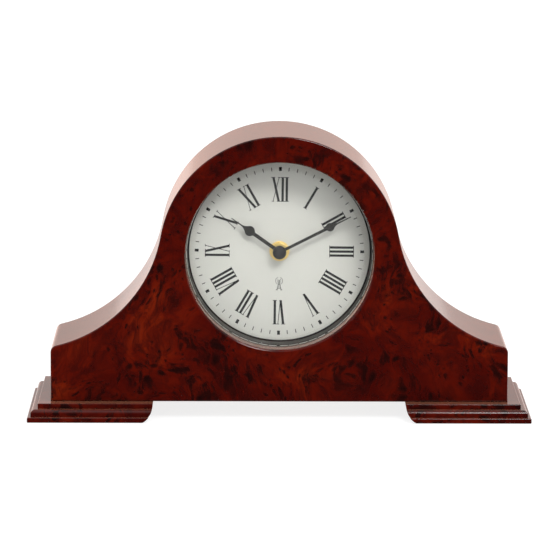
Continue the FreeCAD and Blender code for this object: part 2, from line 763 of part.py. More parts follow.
def build_hands():
    """Both hands with their bosses, and the domed nut in front of them."""
    thick = dim.hand_thickness
    boss = as_size(4.3)
    hour = Piece("hour_hand", 0, FRONT_Y, AXIS_Z, turn=HOUR_ANGLE)
    hour.pad("XZ", HOUR_HAND_DEPTH, thick, spade(
        dim.hour_shaft_half, dim.hour_spade_middle, dim.hour_spade_radius, dim.hour_length, boss))
    hour.pad("XZ", HOUR_HAND_DEPTH - 0.3, thick + 0.6, circle(0, 0, boss))
    hour.pocket("XZ", HOUR_HAND_DEPTH - 1, thick + 2, circle(0, 0, dim.hour_tube_radius))
    boss = as_size(3.4)
    minute = Piece("minute_hand", 0, FRONT_Y, AXIS_Z, turn=MINUTE_ANGLE)
    minute.pad("XZ", MINUTE_HAND_DEPTH, thick, spade(
        dim.minute_shaft_half, dim.minute_spade_middle, dim.minute_spade_radius,
        dim.minute_length, boss))
    minute.pad("XZ", CAP_BACK, MINUTE_BOSS_END - CAP_BACK, circle(0, 0, boss))
    minute.pocket("XZ", CAP_BACK - 1, 4, circle(0, 0, dim.arbor_radius))
    cap = Piece("cap_nut", 0, FRONT_Y, AXIS_Z)
    rise = as_size(2.4)
    skirt = 0.9
    dome = (dim.cap_radius * dim.cap_radius + rise * rise) / (2 * rise)
    cap.turn(outline((0, CAP_BACK - skirt - rise, dome), (dim.cap_radius, CAP_BACK - skirt),
                     (dim.cap_radius, CAP_BACK), (dim.arbor_radius, CAP_BACK),
                     (dim.arbor_radius, ARBOR_FRONT), (0, ARBOR_FRONT)))


CAP_BACK = 20.4
MINUTE_BOSS_END = 21.9
ARBOR_FRONT = 18.3
HOUR_TUBE_FRONT = 22.6
NUT_CORNER = 6.9


def build_dial_nut():
    """The brass washer and hexagon nut that clamp the movement's bush to the dial."""
    washer = Piece("dial_washer", 0, FRONT_Y, AXIS_Z)
    washer_thickness = 0.5
    washer.pad("XZ", dim.dial_depth - washer_thickness, washer_thickness,
               circle(0, 0, NUT_CORNER + 0.1), circle(0, 0, dim.bush_radius + 0.1))
    nut = Piece("hex_nut", 0, FRONT_Y, AXIS_Z)
    height = 2.2
    hexagon = [turned_by(60 * side, 0, NUT_CORNER) for side in range(6, 0, -1)]
    nut.pad("XZ", dim.dial_depth - washer_thickness - height, height,
            outline(*hexagon), circle(0, 0, dim.bush_radius + 0.05))
    nut.ease("Chamfer", 0.5, both(lying_at("y", dim.dial_depth - washer_thickness - height),
                                  lambda edge: edge.Curve.TypeId == "Part::GeomLine"))
    rubber = Piece("rubber_washer", 0, FRONT_Y, AXIS_Z)
    back = dim.dial_depth + dim.dial_thickness
    rubber.pad("XZ", back, dim.movement_depth - back,
               circle(0, 0, 9.5), circle(0, 0, dim.bush_radius + 0.1))


# ---------------------------------------------------------------- movement
# Depths here are measured from the movement's front face, heights from the dial's axis.

CENTRE_TEETH = 80
CANNON_TEETH = 12
MOTION_TEETH = 36
MOTION_LEAVES = 10
HOUR_TEETH = 40
TRAIN_LEAVES = 8
MIDDLE_TEETH = 48
TOWARDS_MIDDLE = -30.0
TOWARDS_ROTOR = -90.0
TOWARDS_MOTION = 150.0
MIDDLE_AT = turned_by(TOWARDS_MIDDLE, 0, dim.train_module * (CENTRE_TEETH + TRAIN_LEAVES) / 2)
ROTOR_STEP = turned_by(TOWARDS_ROTOR, 0, dim.train_module * (MIDDLE_TEETH + TRAIN_LEAVES) / 2)
ROTOR_AT = (MIDDLE_AT[0] + ROTOR_STEP[0], MIDDLE_AT[1] + ROTOR_STEP[1])
MOTION_AT = turned_by(TOWARDS_MOTION, 0, dim.cannon_module * (CANNON_TEETH + MOTION_TEETH) / 2)

PLATE_START = 5.4
PLATE_THICKNESS = 1.2
BRIDGE_START = 14.6
BRIDGE_THICKNESS = 1.2
BOARD_SCREW_POINTS = [(24.0, 21.0), (-24.0, 21.0), (24.0, -23.0), (-24.0, -23.0)]
BOARD_SCREW = 0.8
AERIAL_HEIGHT = 34.0
AERIAL_DEPTH = 12.5
FERRITE_RADIUS = 4.0
POST_POINTS = [(20.0, 16.0), (20.0, -20.0), (-25.5, 21.0), (-25.5, -22.0)]
BOARD_START = 16.6
BOARD_THICKNESS = 1.0
BAY_HALF_LENGTH = 28.0
BAY_TOP = -29.0
BAY_BOTTOM = -44.6
BAY_FLOOR = 6.2
BAY_WALL = 1.2
BATTERY_DEPTH = BAY_FLOOR + 0.05 + dim.battery_radius
BATTERY_HEIGHT = BAY_BOTTOM + 0.05 + dim.battery_radius
BUTTON_POINTS = [("set_button", -14.0, -14.0), ("reset_button", 14.0, -14.0)]
BUTTON_RADIUS = 2.4
BUTTON_CLEARANCE = 0.08


def movement_piece(label, at=(0, 0)):
    """A piece whose own origin lies at the movement's front face, on the axis given."""
    return Piece(label, at[0], MOVEMENT_Y, AXIS_Z + at[1])


def add_teeth(piece, start, thickness, teeth, module, phase, bore=None):
    """Cuts a toothed rim: a disc of root size and one tooth, repeated. The first tooth
    stands at the phase, in degrees clockwise from the top."""
    pitch = module * math.pi
    middle = module * teeth / 2
    low = middle - module * 1.25
    high = middle + module * 0.95
    loops = [circle(0, 0, low)] + ([circle(0, 0, bore)] if bore is not None else [])
    piece.pad("XZ", start, thickness, *loops)
    foot_half = pitch * 0.20
    middle_half = pitch * 0.17
    tip_half = pitch * 0.07
    foot = low - module * 0.3
    corners = [(foot_half, foot), (middle_half, middle), (tip_half, high),
               (-tip_half, high), (-middle_half, middle), (-foot_half, foot)]
    tooth = piece.pad("XZ", start, thickness,
                      outline(*[turned_by(phase, u, v) for u, v in corners]))
    piece.repeat(tooth, teeth)


def build_arbor():
    """Minute arbor with its centre wheel and its cannon pinion."""
    arbor = movement_piece("minute_arbor")
    front = ARBOR_FRONT - dim.movement_depth
    pivot = dim.pivot_radius + 0.3
    arbor.turn(outline((0, front), (dim.arbor_radius, front), (dim.arbor_radius, 5.0),
                       (1.4, 5.0), (1.4, 9.0), (1.0, 9.0), (1.0, BRIDGE_START - 0.2),
                       (pivot, BRIDGE_START - 0.2), (pivot, BRIDGE_START + BRIDGE_THICKNESS),
                       (0, BRIDGE_START + BRIDGE_THICKNESS)))
    add_teeth(arbor, 3.5, 1.4, CANNON_TEETH, dim.cannon_module, TOWARDS_MOTION)
    add_teeth(arbor, 7.4, 0.8, CENTRE_TEETH, dim.train_module, TOWARDS_MIDDLE)


def build_motion_work():
    """The wheel that steps down from the cannon pinion, and the hour wheel on its tube."""
    motion = movement_piece("motion_wheel", MOTION_AT)
    bore = MOTION_POST + dim.pivot_clearance
    back = TOWARDS_MOTION + 180
    add_teeth(motion, 1.9, 1.7, MOTION_LEAVES, dim.hour_module, back, bore)
    add_teeth(motion, 3.6, 1.0, MOTION_TEETH, dim.cannon_module,
              back + 180 / MOTION_TEETH, bore)
    hour = movement_piece("hour_wheel")
    add_teeth(hour, 2.0, 1.0, HOUR_TEETH, dim.hour_module,
              TOWARDS_MOTION + 180 / HOUR_TEETH, dim.hour_tube_bore)
    front = HOUR_TUBE_FRONT - dim.movement_depth
    hour.pad("XZ", front, 2.0 - front, circle(0, 0, dim.hour_tube_radius),
             circle(0, 0, dim.hour_tube_bore))


MOTION_POST = as_size(0.8)


def train_arbor(piece, parts):
    """An arbor with a pivot at each end, and thicker lengths between: (from, to, radius)."""
    pivot = dim.pivot_radius
    low = PLATE_START + 0.1
    high = BRIDGE_START + BRIDGE_THICKNESS
    piece.pad("XZ", low, high - low, circle(0, 0, pivot))
    for start, stop, radius in parts:
        piece.pad("XZ", start, stop - start, circle(0, 0, radius))


def build_train():
    """Intermediate wheel and stepping rotor."""
    inner = (PLATE_START + PLATE_THICKNESS + 0.15, BRIDGE_START - 0.15)
    wheel = movement_piece("intermediate_wheel", MIDDLE_AT)
    train_arbor(wheel, [(inner[0], inner[1], 0.75)])
    add_teeth(wheel, 7.1, 1.5, TRAIN_LEAVES, dim.train_module,
              TOWARDS_MIDDLE + 180 + 180 / TRAIN_LEAVES)
    add_teeth(wheel, 9.4, 0.8, MIDDLE_TEETH, dim.train_module, TOWARDS_ROTOR)
    rotor = movement_piece("rotor", ROTOR_AT)
    train_arbor(rotor, [(inner[0], inner[1], 0.75), (10.9, 13.9, 3.0)])
    add_teeth(rotor, 9.1, 1.4, TRAIN_LEAVES, dim.train_module,
              TOWARDS_ROTOR + 180 + 180 / TRAIN_LEAVES)


def build_plates():
    """The inner plate with its posts, the rear bridge and the screws that hold it."""
    plate = movement_piece("train_plate")
    plate.pad("XZ", PLATE_START, PLATE_THICKNESS, rectangle(-29.0, 29.0, -27.0, 24.0),
              circle(0, 0, 2.0),
              circle(*MIDDLE_AT, dim.pivot_radius + dim.pivot_clearance),
              circle(*ROTOR_AT, dim.pivot_radius + dim.pivot_clearance))
    post = 2.2
    plate.pad("XZ", PLATE_START + PLATE_THICKNESS, BRIDGE_START - PLATE_START - PLATE_THICKNESS,
              *[circle(u, v, post) for u, v in POST_POINTS])
    plate.pocket("XZ", BRIDGE_START - 4, 4, *[circle(u, v, 0.85) for u, v in POST_POINTS])
    bridge = movement_piece("train_bridge")
    bridge.pad("XZ", BRIDGE_START, BRIDGE_THICKNESS, rectangle(-28.5, 24.0, -25.0, 24.0),
               circle(0, 0, dim.pivot_radius + 0.3 + dim.pivot_clearance),
               circle(*MIDDLE_AT, dim.pivot_radius + dim.pivot_clearance),
               circle(*ROTOR_AT, dim.pivot_radius + dim.pivot_clearance),
               *[circle(u, v, 0.95) for u, v in POST_POINTS])
    bridge.pocket("XZ", BRIDGE_START + 0.4, 0.8, *[circle(u, v, 1.9) for u, v in POST_POINTS])
    screw = Piece("bridge_screw_pattern", node=False)
    screw.turn(outline((0, BRIDGE_START - 3.4), (0.8, BRIDGE_START - 3.4), (0.8, BRIDGE_START + 0.4),
                       (1.7, BRIDGE_START + 0.4), (1.7, BRIDGE_START + 1.1),
                       (0, BRIDGE_START + 1.1)))
    copies("bridge_screws", screw, [shift(u, MOVEMENT_Y, AXIS_Z + v) for u, v in POST_POINTS])


CORE_HEIGHT = -14.0
CORE_DEPTH = 11.0
CORE_HALF_HEIGHT = 1.5
CORE_HALF_THICKNESS = 0.5
STATOR_HOLE = 3.6
BOBBIN_ENDS = (-24.3, -7.3)
BOBBIN_FLANGE = 1.0


def build_stepper():
    """Stator, core, bobbin and winding of the stepping motor."""
    stator = movement_piece("stator")
    u, v = ROTOR_AT
    start = CORE_DEPTH + CORE_HALF_THICKNESS
    thickness = 1.0
    low = CORE_HEIGHT - CORE_HALF_HEIGHT
    stator.pad("XZ", start, thickness, circle(u, v, STATOR_HOLE + 2.4), circle(u, v, STATOR_HOLE))
    stator.pad("XZ", start, thickness, outline(
        (-28.0, low), (-24.6, low), (-24.6, v - 3), (u - 4.6, v - 3), (u - 4.6, v + 3),
        (-28.0, v + 3)))
    stator.pad("XZ", start, thickness, outline(
        (-6.0, low), (-2.5, low), (-2.5, 2.0), (u + 5.4, v - 0.8), (u + 2.6, v - 4.4),
        (-6.0, -1.0)))
    core = movement_piece("coil_core")
    core.pad("XZ", CORE_DEPTH - CORE_HALF_THICKNESS, 2 * CORE_HALF_THICKNESS,
             rectangle(-27.5, -2.6, low, CORE_HEIGHT + CORE_HALF_HEIGHT))
    bobbin = movement_piece("coil_bobbin")
    left, right = BOBBIN_ENDS
    tube = 2.1
    bobbin_section(bobbin, left, right - left, tube)
    bobbin_section(bobbin, left, BOBBIN_FLANGE, 3.3)
    bobbin_section(bobbin, right - BOBBIN_FLANGE, BOBBIN_FLANGE, 3.3)
    winding = movement_piece("motor_winding")
    winding.pad("YZ", left + BOBBIN_FLANGE, right - left - 2 * BOBBIN_FLANGE,
                circle(CORE_DEPTH, CORE_HEIGHT, 3.1), about_core(tube, tube))


def about_core(half_depth, half_height):
    """A rectangle about the core, in a sketch of depth and height."""
    return rectangle(CORE_DEPTH - half_depth, CORE_DEPTH + half_depth,
                     CORE_HEIGHT - half_height, CORE_HEIGHT + half_height)


def bobbin_section(bobbin, start, length, half):
    """A square length of the bobbin, with the slot that the core lies in."""
    bobbin.pad("YZ", start, length, about_core(half, half),
               about_core(CORE_HALF_THICKNESS + 0.05, CORE_HALF_HEIGHT + 0.05))


def build_housing():
    """The moulded front half of the movement, with its threaded bush."""
    housing = movement_piece("movement_housing")
    wall = dim.housing_wall
    half = dim.movement_half_width
    top = dim.movement_top
    bottom = -dim.movement_bottom
    housing.pad("XZ", 0, dim.housing_split, rectangle(-half, half, bottom, top))
    housing.ease("Fillet", 3.0, along("y"))
    housing.pocket("XZ", wall, dim.housing_split - wall,
                   rectangle(wall - half, half - wall, bottom + wall, top - wall))
    bush_front = 24.2 - dim.movement_depth
    housing.pad("XZ", bush_front, wall - bush_front, circle(0, 0, dim.bush_radius))
    housing.pad("XZ", wall - 0.2, PLATE_START - wall + 0.2,
                *[circle(u, v, 2.2) for u, v in POST_POINTS])
    housing.pad("XZ", wall - 0.2, PLATE_START - wall - 0.2, circle(*MOTION_AT, MOTION_POST))
    housing.pocket("XZ", bush_front - 1, 10.0, circle(0, 0, dim.bush_bore))


def build_cover():
    """The moulded rear half, with the battery bay and the two button holes."""
    cover = movement_piece("movement_cover")
    wall = dim.housing_wall
    half = dim.movement_half_width
    top = dim.movement_top
    bottom = -dim.movement_bottom
    split = dim.housing_split
    rear = dim.movement_thickness
    cover.pad("XZ", split, rear - split, rectangle(-half, half, bottom, top))
    cover.ease("Fillet", 3.0, along("y"))
    cover.pocket("XZ", split, rear - split - wall,
                 rectangle(wall - half, half - wall, bottom + wall, top - wall))
    bay = BAY_WALL
    cover.pad("XZ", BAY_FLOOR - bay, rear - BAY_FLOOR + bay, rectangle(
        -BAY_HALF_LENGTH - bay, BAY_HALF_LENGTH + bay, BAY_BOTTOM - bay, BAY_TOP + bay))
    cover.pocket("XZ", BAY_FLOOR, rear - BAY_FLOOR + 1, rectangle(
        -BAY_HALF_LENGTH, BAY_HALF_LENGTH, BAY_BOTTOM, BAY_TOP))
    inner = rear - wall
    board_back = BOARD_START + BOARD_THICKNESS
    cover.pad("XZ", board_back, inner - board_back + 0.2,
              *[circle(u, v, 2.2) for u, v in BOARD_SCREW_POINTS])
    cover.pocket("XZ", board_back, inner - board_back - 0.4,
                 *[circle(u, v, BOARD_SCREW + PILOT_CLEARANCE) for u, v in BOARD_SCREW_POINTS])
    cover.pocket("XZ", inner - 1, wall + 2,
                 *[circle(u, v, BUTTON_RADIUS + BUTTON_CLEARANCE) for _, u, v in BUTTON_POINTS])
    cover.pad("XZ", AERIAL_DEPTH - 1, inner - AERIAL_DEPTH + 1.2,
              *[rectangle(u - 1.5, u + 1.5, AERIAL_HEIGHT - 5, AERIAL_HEIGHT + 5) for u in (-20.0, 20.0)])
    cover.pocket("YZ", -half + wall, 2 * (half - wall),
                 circle(AERIAL_DEPTH, AERIAL_HEIGHT, FERRITE_RADIUS + 0.02))
    seam = 1.0
    lip = wall + 0.05
    cover.pad("XZ", split - 1.8, 2.0,
              rectangle(lip - half, half - lip, bottom + lip, top - lip),
              rectangle(lip + seam - half, half - lip - seam, bottom + lip + seam, top - lip - seam))


def build_electronics():
    """Circuit board and what stands on it, and the radio aerial."""
    board = movement_piece("circuit_board")
    board.pad("XZ", BOARD_START, BOARD_THICKNESS, rectangle(-28.0, 28.0, -26.5, 24.5),
              *[circle(u, v, BOARD_SCREW + 0.1) for u, v in BOARD_SCREW_POINTS])
    screw = Piece("board_screw_pattern", node=False)
    seat = BOARD_START
    screw.turn(outline((0, seat - 0.7), (1.6, seat - 0.7), (1.6, seat), (BOARD_SCREW, seat),
                       (BOARD_SCREW, seat + 3.2), (0, seat + 3.2)))
    copies("board_screws", screw, [
        shift(u, MOVEMENT_Y, AXIS_Z + v) for u, v in BOARD_SCREW_POINTS])
    board_back = BOARD_START + BOARD_THICKNESS
    chip = movement_piece("radio_chip")
    chip.pad("XZ", board_back, 1.2, rectangle(-5.0, 5.0, 3.0, 11.0))
    chip.ease("Chamfer", 0.3, lying_at("y", board_back + 1.2))
    crystal = Piece("crystal_pattern", node=False)
    crystal.pad("YZ", -3.0, 6.0, circle(0, 0, 1.0))
    copies("quartz_crystals", crystal, [
        shift(u, MOVEMENT_Y + board_back + 1.02, AXIS_Z + v) for u, v in ((14.0, 6.0), (14.0, 10.0))])
    switch = Piece("switch_pattern", node=False)
    switch.pad("XZ", board_back, 0.9, rectangle(-2.6, 2.6, -2.6, 2.6))
    switch.pad("XZ", board_back + 0.9, 0.3, circle(0, 0, 1.2))
    copies("button_switches", switch, [
        shift(u, MOVEMENT_Y, AXIS_Z + v) for _, u, v in BUTTON_POINTS])
    rod = movement_piece("ferrite_rod")
    rod.pad("YZ", -26.0, 52.0, circle(AERIAL_DEPTH, AERIAL_HEIGHT, FERRITE_RADIUS))
    coil = movement_piece("aerial_coil")
    coil.pad("YZ", -10.0, 20.0, circle(AERIAL_DEPTH, AERIAL_HEIGHT, FERRITE_RADIUS + 1.2),
             circle(AERIAL_DEPTH, AERIAL_HEIGHT, FERRITE_RADIUS))


def build_power():
    """AA cell, its flat positive contact and its coiled negative contact. Each piece's own
    origin lies on the cell's axis."""
    def on_cell(label):
        return Piece(label, 0, MOVEMENT_Y + BATTERY_DEPTH, AXIS_Z + BATTERY_HEIGHT)

    low = -24.2
    nub = 1.1
    battery = on_cell("aa_battery")
    battery.pad("YZ", low, dim.battery_length, circle(0, 0, dim.battery_radius))
    battery.ease("Fillet", 0.6, lambda edge: edge.Curve.TypeId == "Part::GeomCircle")
    battery.pad("YZ", low + dim.battery_length, nub, circle(0, 0, 2.75))
    plate = 0.4
    plus = on_cell("positive_contact")
    wall = as_size(BAY_HALF_LENGTH) - 0.1
    plus.pad("YZ", wall - plate, plate, rectangle(-5.5, 5.5, -6, 6))
    plus.pad("YZ", low + dim.battery_length + nub + 0.1,
             wall - plate - low - dim.battery_length - nub - 0.1, circle(0, 0, 2.2))
    minus = on_cell("negative_contact")
    minus.pad("YZ", -wall, plate, rectangle(-5.5, 5.5, -6, 6))
    wire = 0.35
    coil = 4.2
    spring = minus.body.newObject("PartDesign::AdditiveHelix", "contact_spring")
    profile = minus.sketch("XY", 0, [circle(-wall + plate + wire - 0.1, coil, wire)])
    spring.Profile = profile
    spring.ReferenceAxis = (profile, ["H_Axis"])
    spring.Mode = "pitch-turns-angle"
    spring.Pitch = 1.25
    spring.Turns = 2
    spring.Angle = 0


def build_buttons():
    """Two buttons that stand through the rear cover, each with a flange that keeps it in."""
    inner = (dim.movement_thickness - dim.housing_wall).number
    for label, u, v in BUTTON_POINTS:
        button = movement_piece(label, (u, v))
        button.turn(outline((0, inner - 1.0), (BUTTON_RADIUS + 0.8, inner - 1.0),
                            (BUTTON_RADIUS + 0.8, inner - 0.2), (BUTTON_RADIUS, inner - 0.2),
                            (BUTTON_RADIUS, inner + 2.5), (BUTTON_RADIUS - 0.3, inner + 2.8),
                            (0, inner + 2.8)))


# ---------------------------------------------------------------- rear door

DOOR_LIP_GAP = 0.3
MAGNET_RADIUS = 1.6
MAGNET_THICKNESS = 2.7
HINGE_SCREW = 0.7
HINGE_SCREW_LENGTH = 4.0
LEAF_SCREW_ACROSS = 5.5
HINGE_SCREW_UP = (-6.5, 6.5)
HINGE_HALF = 11.0
KNUCKLE_SPLIT = 3.7


def hinge_heights():
    return [dim.hump_height + 26, dim.hump_height - 34]


def catch_across():
    return -dim.door_half_width + dim.door_lip / 2


def catch_height():
    return dim.hump_height - 4


def hinge_x():
    return dim.door_half_width - dim.door_gap / 2


def build_door():
    door = Piece("rear_door", 0, FRONT_Y, BODY_Z)
    start = dim.body_depth - dim.door_thickness
    gap = dim.door_gap
    half = dim.door_half_width - gap
    low = dim.hump_height - dim.door_below + gap
    high = dim.hump_height + dim.door_above - gap
    door.pad("XZ", start, dim.door_thickness, rectangle(-half, half, low, high))
    door.pocket("XZ", start, 0.8, circle(catch_across(), catch_height(), 1.7))
    door.pocket("XZ", dim.body_depth - HINGE_SCREW_LENGTH, HINGE_SCREW_LENGTH,
                *[circle(hinge_x() - LEAF_SCREW_ACROSS, height + v, HINGE_SCREW + PILOT_CLEARANCE)
                  for height in hinge_heights() for v in HINGE_SCREW_UP])
    door.pocket("XZ", dim.body_depth - 4, 4, circle(KNOB_ACROSS, catch_height(), 1.55))
    knob = Piece("door_knob", KNOB_ACROSS, FRONT_Y + dim.body_depth, BODY_Z + catch_height())
    knob.turn(outline((0, -3.8), (1.5, -3.8), (1.5, 0), (4.2, 0), (4.2, 0.5), (2.0, 0.9),
                      (1.9, 2.0), (4.0, 2.9, 1.3), (3.4, 4.4), (0, 4.7)))
    disc = Piece("catch_disc", catch_across(), FRONT_Y + start, BODY_Z + catch_height())
    disc.pad("XZ", 0, 0.8, circle(0, 0, 1.65))
    magnet = Piece("catch_magnet", catch_across(), FRONT_Y + dim.body_depth - dim.back_thickness,
                   BODY_Z + catch_height())
    magnet.pad("XZ", 0, MAGNET_THICKNESS, circle(0, 0, MAGNET_RADIUS))


KNOB_ACROSS = -46.0


def sideways(near, far, side):
    """A run from near to far on the given side of an axis, in rising order."""
    near, far = as_size(near), as_size(far)
    return (near, far) if side > 0 else (-far, -near)


def hinge_leaf(label, side):
    """One leaf of both hinges: side 1 on the back panel, -1 on the door. Its own origin
    lies on the hinge's axis."""
    leaf = Piece(f"{label}_pattern", node=False)
    low = -dim.hinge_offset
    high = low + dim.leaf_thickness
    clear = dim.knuckle_radius + 0.4
    gap = 0.1
    if side > 0:
        knuckles = [(KNUCKLE_SPLIT + gap, HINGE_HALF), (-HINGE_HALF, -KNUCKLE_SPLIT - gap)]
    else:
        knuckles = [(gap - KNUCKLE_SPLIT, KNUCKLE_SPLIT - gap)]
    leaf.pad("XY", -HINGE_HALF, 2 * HINGE_HALF, rectangle(*sideways(clear, 9.0, side), low, high))
    for start, stop in knuckles:
        leaf.pad("XY", start, stop - start, circle(0, 0, dim.knuckle_radius))
        leaf.pad("XY", start, stop - start,
                 rectangle(*sideways(0.3, clear + 0.5, side), low, high))
    leaf.pocket("XY", -HINGE_HALF - 1, 2 * HINGE_HALF + 2,
                circle(0, 0, dim.hinge_pin_radius + 0.05))
    across = (LEAF_SCREW_ACROSS + dim.door_gap / 2 if side > 0 else as_size(LEAF_SCREW_ACROSS)) * side
    leaf.pocket("XZ", low - 1, dim.leaf_thickness + 2,
                *[circle(across, v, HINGE_SCREW + 0.1) for v in HINGE_SCREW_UP])
    copies(label, leaf, [shift(hinge_x(), hinge_y(), BODY_Z + height) for height in hinge_heights()])
    screw = Piece(f"{label}_screw_pattern", node=False)
    seat = dim.leaf_thickness
    screw.turn(outline((0, -HINGE_SCREW_LENGTH + 0.3), (HINGE_SCREW, -HINGE_SCREW_LENGTH + 1),
                       (HINGE_SCREW, seat), (1.3, seat), (1.0, seat + 0.6), (0, seat + 0.6)))
    name = "hinge_frame_screws" if side > 0 else "hinge_door_screws"
    copies(name, screw, [
        shift(hinge_x() + across, FRONT_Y + dim.body_depth, BODY_Z + height + v)
        for height in hinge_heights() for v in HINGE_SCREW_UP])


def hinge_y():
    return FRONT_Y + dim.body_depth + dim.hinge_offset


def build_hinges():
    hinge_leaf("hinge_frame_leaves", 1)
    hinge_leaf("hinge_door_leaves", -1)
    pin = Piece("hinge_pin_pattern", node=False)
    reach = HINGE_HALF + 0.1
    pin.pad("XY", -reach, 2 * reach, circle(0, 0, dim.hinge_pin_radius))
    pin.pad("XY", reach, 0.6, circle(0, 0, 1.2))
    pin.pad("XY", -reach - 0.6, 0.6, circle(0, 0, 1.2))
    copies("hinge_pins", pin, [shift(hinge_x(), hinge_y(), BODY_Z + height)
                               for height in hinge_heights()])


# ---------------------------------------------------------------- build, check and write


def check_document():
    """Stops if any object failed, or a sub-part's shape is missing or broken."""
    for item in doc.Objects:
        if "Invalid" in item.State or "Error" in item.State:
            raise RuntimeError(f"{item.Label} failed: {item.State}")
    for node in NODES:
        if node.Shape.isNull() or not node.Shape.isValid() or not node.Shape.Solids:
            raise RuntimeError(f"{node.Label} has no valid solid")


build_front_panel()
build_shell()
build_base_board()
build_back_panel()
build_back_screws()
build_back_frame()
build_glue_blocks()
build_feet()
build_foot_screws()
build_felt_pads()
build_glass()
build_rings()
build_dial()
build_clamps()
build_hands()
build_dial_nut()
build_arbor()
build_motion_work()
build_train()
build_plates()
build_stepper()
build_housing()
build_cover()
build_electronics()
build_power()
build_buttons()
build_door()
build_hinges()
doc.recompute()
check_document()

os.makedirs("parts", exist_ok=True)
for node in NODES:
    node.Shape.exportStep(os.path.join("parts", f"{node.Label}.step"))
print(len(NODES), "nodes written")
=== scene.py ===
"""Mantel clock: materials, printed dial, domed glass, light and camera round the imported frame."""
import json
import math

import bmesh
import bpy
from mathutils import Matrix, Vector


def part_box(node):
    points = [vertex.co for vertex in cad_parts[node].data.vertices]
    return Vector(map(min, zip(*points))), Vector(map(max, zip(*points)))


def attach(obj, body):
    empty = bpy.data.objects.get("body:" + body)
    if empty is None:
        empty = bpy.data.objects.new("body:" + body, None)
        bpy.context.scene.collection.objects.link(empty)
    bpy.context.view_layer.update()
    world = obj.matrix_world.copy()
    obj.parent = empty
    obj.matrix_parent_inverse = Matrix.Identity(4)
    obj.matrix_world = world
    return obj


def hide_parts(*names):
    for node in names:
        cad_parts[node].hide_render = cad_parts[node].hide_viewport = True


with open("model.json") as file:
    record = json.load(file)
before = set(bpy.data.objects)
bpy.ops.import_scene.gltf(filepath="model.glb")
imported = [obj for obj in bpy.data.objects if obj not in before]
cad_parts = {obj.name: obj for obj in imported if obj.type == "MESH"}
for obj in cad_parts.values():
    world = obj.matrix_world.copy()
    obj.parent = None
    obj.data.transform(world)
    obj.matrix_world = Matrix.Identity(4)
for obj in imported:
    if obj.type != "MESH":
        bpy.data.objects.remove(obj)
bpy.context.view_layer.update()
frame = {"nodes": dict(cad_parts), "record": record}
nodes = frame["nodes"]
node_slots = {s["node"]: s["material_slot"] for s in frame["record"]["subparts"]}
scene = bpy.context.scene

MM = 0.001


# ---------------------------------------------------------------- node helpers


